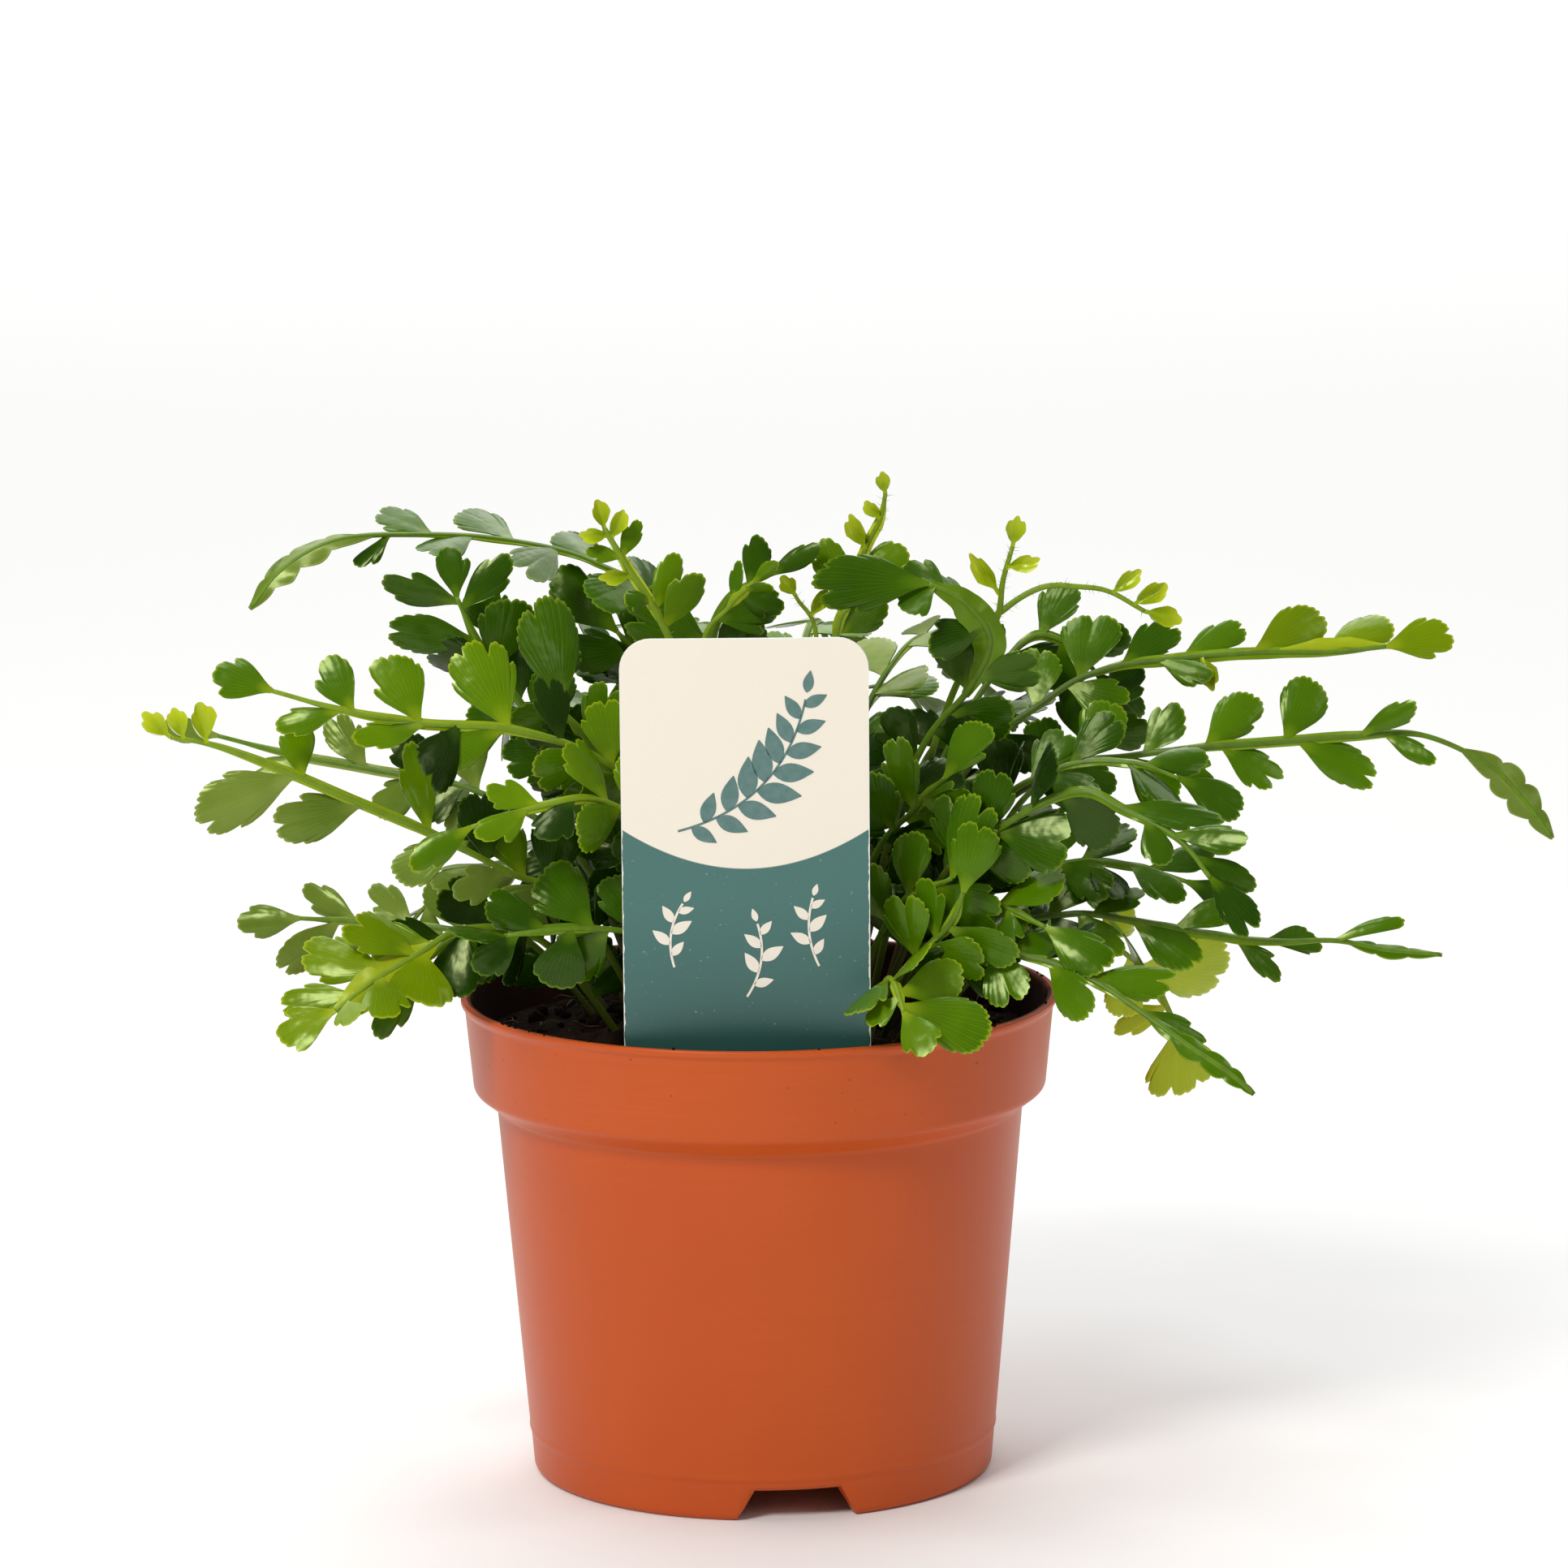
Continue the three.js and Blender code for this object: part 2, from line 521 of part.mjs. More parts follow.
// The outer edge of a leaflet: a half ellipse with rounded teeth on a wedge that widens from the neck.
// The edge next to the stem is cut back to stay beside it. The blade is cupped and droops to its edge.
function leafEdge({ length, width, swing, atEnd }) {
  const shoulder = Math.min(0.68, 0.34 + 0.32 * (width / length));
  const half = width / 2;
  const count = length > 16 && width > 12 ? 9 : length > 12.5 && width > 8.5 ? 7 : 5;
  const slant = THREE.MathUtils.degToRad(Math.abs(swing));
  const points = [];
  for (let k = 0; k < count; k++) {
    const turn = ((2 * k) / (count - 1) - 1) * (Math.PI / 2);
    const reach = k % 2 ? notchDepth : 1;
    const a = length * (0.3 + (shoulder + (1 - shoulder) * Math.cos(turn) - 0.3) * reach);
    let b = half * reach * Math.sin(turn);
    const inner = Math.sign(swing) * b < 0;
    if (inner && !atEnd && slant < 1.3) {
      const room = Math.max(0.3, (a * Math.sin(slant) - 1.3) / Math.cos(slant));
      b = Math.sign(b) * Math.min(Math.abs(b), room);
    }
    points.push([a, b, -0.1 * length * (a / length) ** 2 - 0.16 * half * (b / half) ** 2]);
  }
  return points;
}

// A skin of points and triangles that ends as one closed solid
class Skin {
  constructor() {
    this.places = [];
    this.faces = [];
  }
  add(point) {
    this.places.push(point.x, point.y, point.z);
    return this.places.length / 3 - 1;
  }
  quad(a, b, c, d) {
    this.faces.push(a, b, c, a, c, d);
  }
  // A blade that starts at two upper and two lower points and follows its outer edge
  blade(frame, edge, [upperFirst, upperLast, lowerLast, lowerFirst], depth) {
    const placed = (a, b, c) => this.add(new THREE.Vector3(a, b, c).applyMatrix4(frame));
    const layer = (height) => edge.map(([a, b, c]) => placed(a, b, c + height));
    const upper = layer(depth / 2);
    const lower = layer(-depth / 2);
    const last = edge.length - 1;
    const middle = last / 2;
    for (let k = 0; k < last; k++) {
      const top = k < middle ? upperFirst : upperLast;
      const foot = k < middle ? lowerFirst : lowerLast;
      this.faces.push(top, upper[k], upper[k + 1], foot, lower[k + 1], lower[k]);
      this.quad(upper[k], lower[k], lower[k + 1], upper[k + 1]);
    }
    this.faces.push(upperLast, upperFirst, upper[middle], lowerFirst, lowerLast, lower[middle]);
    this.quad(upperFirst, lowerFirst, lower[0], upper[0]);
    this.quad(upper[last], lower[last], lowerLast, upperLast);
  }
  // A curled bud on its stalk: a knob that starts at the same four points and closes at its tip
  bud(frame, length, radius, base) {
    let ring = base;
    for (const [place, size] of [[length - radius, 0.5], [length + 0.2 * radius, radius]]) {
      const corners = [[-0.71, 0.71], [0.71, 0.71], [0.71, -0.71], [-0.71, -0.71]];
      const next = corners.map(([b, c]) =>
        this.add(new THREE.Vector3(place, b * size, c * size).applyMatrix4(frame)),
      );
      for (let i = 0; i < 4; i++) this.quad(ring[i], next[i], next[(i + 1) % 4], ring[(i + 1) % 4]);
      ring = next;
    }
    const tip = this.add(new THREE.Vector3(length + 1.25 * radius, 0, 0).applyMatrix4(frame));
    for (let i = 0; i < 4; i++) this.faces.push(ring[i], tip, ring[(i + 1) % 4]);
  }
  // Whether its triangles run through each other anywhere
  tangled() {
    const place = (i) => new THREE.Vector3(...this.places.slice(3 * i, 3 * i + 3));
    const sheets = [];
    for (let i = 0; i < this.faces.length; i += 3) {
      const ids = this.faces.slice(i, i + 3);
      const corners = ids.map(place);
      sheets.push({ ids, corners, box: new THREE.Box3().setFromPoints(corners) });
    }
    const meet = (one, two) => one.box.intersectsBox(two.box) && (pierces(one, two) || pierces(two, one));
    return sheets.some((one, i) => sheets.slice(i + 1).some((two) => meet(one, two)));
  }
  solid() {
    return new wasm.Manifold(
      new wasm.Mesh({
        numProp: 3,
        vertProperties: new Float32Array(this.places),
        triVerts: new Uint32Array(this.faces),
      }),
    );
  }
}

// Whether an edge of one triangle passes through the inside of another
function pierces(one, two) {
  const [a, b, c] = two.corners;
  return one.ids.some((from, i) => {
    const to = one.ids[(i + 1) % 3];
    if (two.ids.includes(from) || two.ids.includes(to)) return false;
    const start = one.corners[i];
    const step = one.corners[(i + 1) % 3].clone().sub(start);
    const ray = new THREE.Ray(start, step.clone().normalize());
    const hit = ray.intersectTriangle(a, b, c, false, new THREE.Vector3());
    return hit !== null && hit.distanceTo(start) < step.length();
  });
}

// A leaf by itself, from a share of its length outwards, with spare room round it
function loneLeaf(leaf, start, spare) {
  const skin = new Skin();
  const neck = neckWidth / 2 + spare;
  const depth = bladeThickness + 2 * spare;
  const foot = [[-1, 1], [1, 1], [1, -1], [-1, -1]].map(([b, c]) =>
    skin.add(new THREE.Vector3(start * leaf.length, b * neck, (c * depth) / 2).applyMatrix4(leaf.frame)),
  );
  const wider = 1 + (2 * spare) / leaf.width;
  const edge = leafEdge(leaf).map(([a, b, c]) => [a + spare, b * wider, c]);
  skin.blade(leaf.frame, edge, foot, depth);
  skin.faces.push(foot[0], foot[1], foot[2], foot[0], foot[2], foot[3]);
  return skin.solid();
}

// The skin of a whole frond: rings of four corners up the stem, and each leaf or bud grows from the side
// between two rings, or from the end of the stem
function frondSkin(stem, leaves, from = 0, to = stem.spans, spare = 0) {
  const growths = leaves.filter((leaf) => !leaf.atEnd).sort((p, q) => p.at - q.at);
  const ends = leaves.filter((leaf) => leaf.atEnd);
  const stations = [{ at: from, growths: [] }];
  const fillTo = (at) => {
    const last = stations[stations.length - 1].at;
    const stretch = stem.strap && at > stem.strap[0] + strapStep ? strapStep : stemStep;
    const count = Math.ceil((at - last) / stretch - 1e-6);
    for (let i = 1; i < count; i++) {
      stations.push({ at: last + ((at - last) * i) / count, growths: [] });
    }
  };
  for (const leaf of growths) {
    const half = neckWidth / 2 / paceAt(stem, leaf.at);
    const last = stations[stations.length - 1];
    const near = stations.length > 1 && leaf.at - half < last.at + 0.5 * half;
    const before = stations[stations.length - 2];
    if (near && before.growths.every((other) => other.side !== leaf.side)) {
      before.growths.push(leaf);
      continue;
    }
    const start = near ? last.at + 0.5 * half : leaf.at - half;
    if (!near) fillTo(start);
    if (start > stations[stations.length - 1].at) stations.push({ at: start, growths: [] });
    stations[stations.length - 1].growths.push(leaf);
    stations.push({ at: start + 2 * half, growths: [] });
  }
  if (stem.strap && stations[stations.length - 1].at < stem.strap[0] && to > stem.strap[0]) {
    fillTo(stem.strap[0]);
    stations.push({ at: stem.strap[0], growths: [] });
  }
  fillTo(to);
  stations.push({ at: to, growths: [] });

  const skin = new Skin();
  const rings = stations.map(({ at }) => ringAt(stem, at, spare).map((corner) => skin.add(corner)));
  const first = rings[0];
  skin.quad(first[3], first[2], first[1], first[0]);
  for (let i = 0; i + 1 < rings.length; i++) {
    const low = rings[i];
    const high = rings[i + 1];
    const held = new Map(stations[i].growths.map((leaf) => [leaf.side, leaf]));
    skin.quad(low[0], low[1], high[1], high[0]);
    skin.quad(low[2], low[3], high[3], high[2]);
    if (held.has(1)) grow(skin, held.get(1), [high[0], low[0], low[3], high[3]]);
    else skin.quad(low[3], low[0], high[0], high[3]);
    if (held.has(-1)) grow(skin, held.get(-1), [low[1], high[1], high[2], low[2]]);
    else skin.quad(low[1], low[2], high[2], high[1]);
  }
  const end = rings[rings.length - 1];
  if (ends.length) grow(skin, ends[0], [end[1], end[0], end[3], end[2]]);
  else skin.quad(end[0], end[1], end[2], end[3]);
  return skin;
}

// A leaf or a bud on four points of the stem
function grow(skin, leaf, base) {
  if (leaf.radius) skin.bud(leaf.frame, leaf.length, leaf.radius, base);
  else skin.blade(leaf.frame, leafEdge(leaf), base, bladeThickness);
}

// The leaves low on a stem, which fill the middle of the plant: they follow a rule, and start on the
// other side from the lowest leaf in the table
function lowerLeaves(frond) {
  const first = Math.min(frond.path.length - 1, ...(frond.leaves ?? []).map((leaf) => leaf[0]));
  const lowest = (frond.leaves ?? []).find((leaf) => leaf[0] === first);
  const turn = lowest ? Math.sign(lowest[3]) : 1;
  const count = frond.lower ?? 2;
  return Array.from({ length: count }, (_, i) => {
    const at = first - 0.22 - (0.55 * (first - 0.9) * i) / count;
    return [at, 13, 11, i % 2 ? 54 * turn : -54 * turn];
  });
}

// Whether two solids share any space
function cross(a, b) {
  const one = a.boundingBox();
  const two = b.boundingBox();
  for (let i = 0; i < 3; i++) if (one.min[i] > two.max[i] || two.min[i] > one.max[i]) return false;
  return !a.intersect(b).isEmpty();
}

// The ways that a leaf may bend to stay clear of its neighbours, as lift and twist in degrees
const bends = [
  [0, 0], [14, 0], [-14, 0], [0, 28], [0, -28], [26, 18], [-26, -18], [26, -18], [-26, 18],
  [40, 0], [-40, 0], [40, 45], [-40, -45], [55, 20], [-55, -20],
];
const sizes = [1, 0.84, 0.68];

const label = labelSolid(0);
const pot = potSolid();
let soil = soilSolid().subtract(labelSolid(gap));

// Each frond's stem comes first, so that every leaf can keep clear of every stem
const grown = fronds.map((frond) => {
  const radius = stemRadius * (frond.thick ?? 1);
  const stems = [frond.path, ...(frond.twigs ?? [])].map((path, i) => {
    const points = path.map(([x, y, z]) => new THREE.Vector3(x, y, z ?? rootDepth));
    const curve = new THREE.CatmullRomCurve3(points, false, "catmullrom", 0.5);
    const strap = i ? undefined : frond.strap;
    return { curve, spans: points.length - 1, radius, facing: frond.facing, strap };
  });
  const root = stems[0];
  const sunk = root.curve.points.map((point) => point.clone());
  sunk[0].addScaledVector(root.curve.getTangent(0), -gap);
  const boreCurve = new THREE.CatmullRomCurve3(sunk, false, "catmullrom", 0.5);
  const bore = { ...root, curve: boreCurve, strap: undefined };
  let mouth = 0.05;
  while (bore.curve.getPoint(mouth / bore.spans).z < soilMiddle + 2) mouth += 0.01;
  soil = soil.subtract(frondSkin(bore, [], 0, mouth, 0.45).solid());
  return { frond, stems, bare: stems.map((stem) => frondSkin(stem, []).solid()), leaves: [] };
});

const fern = new THREE.Group();
fern.add(meshOf(pot, "pot", 0xbb5a2f, 0.42));
fern.add(meshOf(label, "label", 0x5c8a86, 0.5));

// A leaf at the first of its bends and sizes that keeps it clear of everything else, if there is one
function settledLeaf(plant, others, [at, length, width, swing], lift, twist) {
  const stem = plant.stems[0];
  const spot = directionsAt(stem, at);
  for (const size of sizes) {
    for (const [moreLift, moreTwist] of bends) {
      const frame = leafFrame(spot, swing, lift + moreLift, twist + moreTwist);
      const kind = { at, atEnd: at === stem.spans, swing, side: Math.sign(swing), frame };
      const leaf = { ...kind, length: length * size, width: width * size };
      const room = loneLeaf(leaf, 0.05, 0.32);
      if (others.some((solid) => cross(room, solid))) continue;
      const outer = loneLeaf(leaf, 0.24, 0.12);
      if (plant.bare.some((solid) => cross(outer, solid))) continue;
      if (plant.leaves.some((other) => cross(outer, other.solid))) continue;
      if (frondSkin(stem, [...plant.buds, ...plant.leaves, leaf]).tangled()) continue;
      return { ...leaf, solid: loneLeaf(leaf, 0.05, 0) };
    }
  }
  return undefined;
}

// The buds of a stem from their places in the table
function budsOn(stem, list) {
  return list.map(([at, length, radius, swing]) => {
    const frame = leafFrame(directionsAt(stem, at), swing, 0, 0);
    return { at, atEnd: at === stem.spans, length, radius, swing, side: Math.sign(swing), frame };
  });
}

grown.forEach((plant, index) => {
  const { frond, stems } = plant;
  const random = seededRow(101 + 37 * index);
  const others = [pot, soil, label];
  for (const other of grown) {
    if (other !== plant) others.push(...other.bare, ...other.leaves.map((leaf) => leaf.solid));
  }
  plant.buds = budsOn(stems[0], frond.buds ?? []);
  for (const row of [...(frond.leaves ?? []), ...lowerLeaves(frond)]) {
    const lift = 14 * random() - 7;
    const twist = 30 * random() - 15;
    const leaf = settledLeaf(plant, others, row, lift, twist);
    if (leaf) plant.leaves.push(leaf);
  }
  let whole = frondSkin(stems[0], [...plant.buds, ...plant.leaves]).solid();
  for (const twig of stems.slice(1)) {
    whole = whole.add(frondSkin(twig, budsOn(twig, frond.twigBuds ?? [])).solid());
  }
  fern.add(meshOf(whole, frond.name, tones[frond.tone], 0.45));
});
fern.add(meshOf(soil, "soil", 0x2a211b, 0.95));

export default fern;
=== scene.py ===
import math

import bpy
import numpy as np
from mathutils import Matrix, Vector


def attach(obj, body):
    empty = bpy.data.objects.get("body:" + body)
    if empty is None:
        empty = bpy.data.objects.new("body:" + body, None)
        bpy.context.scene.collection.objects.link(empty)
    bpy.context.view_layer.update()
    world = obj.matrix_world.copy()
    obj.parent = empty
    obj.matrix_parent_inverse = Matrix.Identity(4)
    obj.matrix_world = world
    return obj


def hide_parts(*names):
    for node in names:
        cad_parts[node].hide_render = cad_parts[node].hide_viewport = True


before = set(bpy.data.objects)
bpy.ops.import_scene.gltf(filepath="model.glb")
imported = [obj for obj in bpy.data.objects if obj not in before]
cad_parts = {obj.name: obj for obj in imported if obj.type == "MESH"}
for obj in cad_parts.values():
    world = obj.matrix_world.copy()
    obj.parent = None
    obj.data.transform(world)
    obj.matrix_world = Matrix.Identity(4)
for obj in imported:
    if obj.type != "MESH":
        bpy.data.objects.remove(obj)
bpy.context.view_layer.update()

# The studio: a pale floor that runs past the picture's edges, a long lens a little above the plant, and
# soft lamps. One hangs over the left shoulder of the camera, one fills from the right, one overhead and one
# over the back of the plant put a sheen on the leaves, and a broad one lights the floor far behind.
MM = 0.001
camera_place = (5.4, -1300, 355)
camera_pitch = math.radians(9.42)
camera_roll = math.radians(-0.5)
camera_lens = 151.12
floor_half = 12.0
crown = (0.0, 0.0, 0.13)
# For each lamp: its place and aim in metres, its width, its watts and its tint
lamps = {"lamp_left": ((-0.74, -1.2, 1.4), crown, 0.5, 20.5, (1.0, 0.98, 0.95)),
         "lamp_right": ((1.4, -0.9, 0.9), crown, 0.6, 2.6, (0.96, 0.98, 1.0)),
         "lamp_top": ((-0.35, -0.15, 1.5), crown, 0.4, 4.5, (1.0, 1.0, 1.0)),
         "lamp_back": ((0.2, 1.2, 1.3), crown, 0.45, 0.9, (1.0, 1.0, 1.0)),
         "lamp_backdrop": ((0, 5.4, 5.0), (0, 5.8, 0), 8.5, 500, (1.0, 1.0, 1.0))}
world_strength = 0.22


def linear(red, green, blue):
    """A colour of 0 to 255 steps as light: each share to the power 2.4 above a short straight foot."""
    share = np.array([red, green, blue], float) / 255
    low = share / 12.92
    return (*np.where(share <= 0.04045, low, ((share + 0.055) / 1.055) ** 2.4), 1.0)


class Finish:
    """A material with one Principled shader. Its methods add nodes to it and give their outputs."""

    def __init__(self, name, roughness, **shader):
        """A new material of that roughness, with other values of its shader by name."""
        self.material = bpy.data.materials.new(name)
        self.material.use_nodes = True
        self.tree = self.material.node_tree
        self.surface = self.tree.nodes["Principled BSDF"]
        self.place = self.node("TexCoord").outputs["Object"]
        for key, value in dict(shader, Roughness=roughness).items():
            self.surface.inputs[key.replace("_", " ")].default_value = value

    def node(self, kind, settings=None, **sockets):
        """Adds a node. Each socket is given a value, or the output of a node, by its name or place."""
        node = self.tree.nodes.new("ShaderNode" + kind)
        for key, value in (settings or {}).items():
            setattr(node, key, value)
        for key, value in sockets.items():
            socket = node.inputs[int(key[1:]) if key[1:].isdigit() else key.replace("_", " ")]
            if isinstance(value, bpy.types.NodeSocket):
                self.tree.links.new(value, socket)
            else:
                socket.default_value = value
        return node

    def noise(self, scale, detail=2.0, place=None):
        """A cloudy value of 0 to 1, on the piece's own coordinates."""
        place = self.place if place is None else place
        return self.node("TexNoise", Vector=place, Scale=scale, Detail=detail).outputs[0]

    def sum(self, operation, first, second):
        """One sum on two numbers."""
        return self.node("Math", {"operation": operation}, i0=first, i1=second).outputs[0]

    def ranged(self, value, low, high, to_low=0.0, to_high=1.0):
        """A value carried from one range to another by a straight line, and held at its ends."""
        return self.node("MapRange", Value=value, From_Min=low, From_Max=high, To_Min=to_low,
                         To_Max=to_high).outputs[0]

    def blend(self, share, low, high):
        """A mix of two colours: the first at a share of 0, the second at 1."""
        return self.node("Mix", {"data_type": "RGBA"}, i0=share, i6=low, i7=high).outputs[2]

    def attribute(self, name, output="Fac"):
        """A value that the piece's points carry."""
        return self.node("Attribute", {"attribute_name": name}).outputs[output]

    def relief(self, strength, distance, height):
        """A surface bumped by a height."""
        return self.node("Bump", Strength=strength, Distance=distance, Height=height).outputs[0]

    def wear(self, **sockets):
        """Links outputs to the shader's sockets, and gives the material."""
        for key, value in sockets.items():
            self.tree.links.new(value, self.surface.inputs[key.replace("_", " ")])
        return self.material


camera = bpy.data.objects.new("camera", bpy.data.cameras.new("camera"))
camera.data.sensor_width = 36
camera.data.lens = camera_lens
camera.data.clip_start = 0.05
turn = Matrix.Rotation(math.pi / 2 - camera_pitch, 4, "X") @ Matrix.Rotation(camera_roll, 4, "Z")
camera.matrix_world = Matrix.Translation([MM * v for v in camera_place]) @ turn
bpy.context.scene.collection.objects.link(camera)
bpy.context.scene.camera = camera

floor_mesh = bpy.data.meshes.new("floor")
floor_corners = [(-floor_half, -floor_half, 0), (floor_half, -floor_half, 0), (floor_half, floor_half, 0),
                 (-floor_half, floor_half, 0)]
floor_mesh.from_pydata(floor_corners, [], [(0, 1, 2, 3)])
floor = bpy.data.objects.new("floor", floor_mesh)
bpy.context.scene.collection.objects.link(floor)
paint = Finish("floor_paint", 0.7)
grain = paint.node("TexNoise", Scale=6.0, Detail=2.0).outputs[0]
pale = paint.blend(grain, linear(240, 240, 239), linear(248, 248, 247))
floor_mesh.materials.append(paint.wear(Base_Color=pale))

for name, (place, aim, width, watts, tint) in lamps.items():
    light = bpy.data.lights.new(name, "AREA")
    light.shape = "SQUARE"
    light.size = width
    light.energy = watts
    light.color = tint
    body = bpy.data.objects.new(name, light)
    aimed = (Vector(aim) - Vector(place)).to_track_quat("-Z", "Y").to_matrix().to_4x4()
    body.matrix_world = Matrix.Translation(place) @ aimed
    bpy.context.scene.collection.objects.link(body)
world = bpy.data.worlds.new("studio")
world.use_nodes = True
world.node_tree.nodes["Background"].inputs["Color"].default_value = (1.0, 1.0, 1.0, 1.0)
world.node_tree.nodes["Background"].inputs["Strength"].default_value = world_strength
bpy.context.scene.world = world
bpy.context.scene.view_settings.view_transform = "Standard"

# The pot: a thin-walled nursery pot, injection moulded in terracotta-coloured polypropylene. It tapers to
# a stacking step, has a wide smooth band under a small lip, and stands on a foot ring with water notches
# round a raised channel, which holds the drain holes.
pot_lip = 60
pot_height = 97
pot_wall = 1.2
band_base = 78.5
band_inner_slope = 0.1
band_inner_radius = 49.1
step_base = 75.0
foot_radius = 46
channel_height = 6.5
channel_outer = 40.6
notch_count = 3
notch_bearing = -81.3
notch_top = 8.5
notch_foot = 12.0
notch_height = 6.3
notch_bevel = 0.004
drain_count = 6
drain_radius = 3.5
drain_ring = 32.5
drain_steps = 24
drain_heights = (5.0, 9.5)
parting_height = 8.6
pot_columns = 216
corner_radius = 0.8


def softened(corners, radius, steps=5):
    """A line of points with each corner rounded: a curve that starts and ends the radius away from the
    corner, or a good third of a short side, and bends towards it. One more point just outside each end keeps
    the flats flat."""
    corners = np.array(corners, float)
    rows = [corners[:1]]
    share = np.linspace(0, 1, steps)[:, None]
    for before, corner, after in zip(corners[:-2], corners[1:-1], corners[2:]):
        back, ahead = before - corner, after - corner
        reach = min(radius, 0.38 * np.linalg.norm(back), 0.38 * np.linalg.norm(ahead))
        back, ahead = back / np.linalg.norm(back), ahead / np.linalg.norm(ahead)
        first, last = corner + reach * back, corner + reach * ahead
        arc = (1 - share) ** 2 * first + 2 * share * (1 - share) * corner + share ** 2 * last
        rows += [corner + 1.25 * reach * back, arc, corner + 1.25 * reach * ahead]
    rows.append(corners[-1:])
    return np.vstack(rows)


def net(rows, columns, start=0, ring=False, flip=False):
    """The quads of a grid of points in rows, as four indices each; a ring joins its last column to its
    first."""
    index = start + np.arange(rows * columns).reshape(rows, columns)
    if ring:
        index = np.hstack([index, index[:, :1]])
    quads = np.stack([index[:-1, :-1], index[:-1, 1:], index[1:, 1:], index[1:, :-1]], -1).reshape(-1, 4)
    return quads[:, ::-1] if flip else quads


def closed_ends(rings, low_pole, high_pole, flip=False):
    """Rings of points one over the other, closed to a point at both ends. Gives the points, and the quads
    between the rings and the two fans of triangles, which face outwards or, flipped, the other way."""
    rows, columns = rings.shape[:2]
    first = np.arange(columns)
    last = first + (rows - 1) * columns
    low, high = np.full(columns, rows * columns), np.full(columns, rows * columns + 1)
    fans = [np.stack([np.roll(first, -1), first, low], 1), np.stack([last, np.roll(last, -1), high], 1)]
    fans = [fan[:, [1, 0, 2]] if flip else fan for fan in fans]
    return np.vstack([rings.reshape(-1, 3), low_pole, high_pole]), [net(rows, columns, 0, True, flip), *fans]


def put(name, points, faces, materials, slots=None, values=None, borders=None):
    """A named mesh object from points in millimetres and arrays of three or four indices. values holds
    one number or three numbers for each point, by name. Edges between two points of one border are sharp."""
    mesh = bpy.data.meshes.new(name)
    faces = [np.asarray(group) for group in faces if len(group)]
    corners = np.concatenate([group.ravel() for group in faces]).astype(np.int32)
    sizes = np.concatenate([np.full(len(group), group.shape[1]) for group in faces])
    mesh.vertices.add(len(points))
    mesh.vertices.foreach_set("co", (np.asarray(points, float) * MM).astype(np.float32).ravel())
    mesh.loops.add(len(corners))
    mesh.loops.foreach_set("vertex_index", corners)
    mesh.polygons.add(len(sizes))
    mesh.polygons.foreach_set("loop_start", np.concatenate([[0], np.cumsum(sizes)[:-1]]).astype(np.int32))
    mesh.polygons.foreach_set("loop_total", sizes.astype(np.int32))
    mesh.polygons.foreach_set("use_smooth", np.ones(len(sizes), bool))
    for material in materials:
        mesh.materials.append(material)
    if slots is not None:
        mesh.polygons.foreach_set("material_index", np.concatenate(slots).astype(np.int32))
    mesh.update(calc_edges=True)
    for key, value in (values or {}).items():
        value = np.asarray(value, np.float32)
        kind, field = ("FLOAT", "value") if value.ndim == 1 else ("FLOAT_VECTOR", "vector")
        mesh.attributes.new(key, kind, "POINT").data.foreach_set(field, value.ravel())
    if borders is not None:
        ends = np.empty(2 * len(mesh.edges), np.int32)
        mesh.edges.foreach_get("vertices", ends)
        side = np.asarray(borders)[ends.reshape(-1, 2)]
        sharp = (side[:, 0] > 0) & (side[:, 0] == side[:, 1])
        mesh.attributes.new("sharp_edge", "BOOLEAN", "EDGE").data.foreach_set("value", sharp)
    piece = bpy.data.objects.new(name, mesh)
    bpy.context.scene.collection.objects.link(piece)
    return piece


def turned(profile, angles):
    """A profile of radius and height carried round the upright axis: x is radius times cosine and y is
    radius times sine of each angle. Gives rows of points, one row for each point of the profile."""
    radius, height = profile[:, :1], profile[:, 1:2]
    across, away = radius * np.cos(angles), radius * np.sin(angles)
    return np.stack([across, away, np.broadcast_to(height, across.shape)], -1)


outside = [(0, 0), (20, 0), (24, channel_height), (40.5, channel_height), (44.2, 0), (45.7, 0), (46.5, 0.9),
           (47.05, 7.6), (47.45, parting_height), (47.35, 9.6), (53, step_base), (57.6, band_base),
           (59.2, 95), (pot_lip, 95.9), (pot_lip, pot_height)]
inside = [(59.2 - pot_wall, pot_height), (57.6 - pot_wall, band_base + 1), (53 - pot_wall, step_base + 1),
          (47.4 - pot_wall, 10), (40.5, 8), (25, 8), (21, 1.5), (0, 1.5)]
pot_profile = softened(outside + inside, corner_radius)
angles = np.linspace(-math.pi, math.pi, pot_columns, endpoint=False)
notch_middles = [math.radians(notch_bearing + 360 / notch_count * i) for i in range(notch_count)]
for middle in notch_middles:
    for half in (notch_top, notch_foot):
        edges = math.asin(half / foot_radius) + np.array([0, notch_bevel])
        angles = np.concatenate([angles, middle - edges, middle + edges])
angles = np.sort((angles + math.pi) % (2 * math.pi) - math.pi)
pot_points = turned(pot_profile, angles)
# Each notch lifts the foot of the wall on its own side of the pot. Its sides slope from the wide foot to the
# narrower top.
for middle in notch_middles:
    off = np.where(np.cos(angles - middle) > 0, np.abs(foot_radius * np.sin(angles - middle)), np.inf)
    lift = notch_height * np.clip((notch_foot - off) / (notch_foot - notch_top), 0, 1)
    height = pot_points[:, :, 2]
    at_foot = (pot_profile[:, :1] > channel_outer) & (height < channel_height)
    pot_points[:, :, 2] = np.where(at_foot, np.maximum(height, lift), height)
pot_all, pot_faces = closed_ends(pot_points[1:-1], pot_points[0, 0], pot_points[-1, 0])

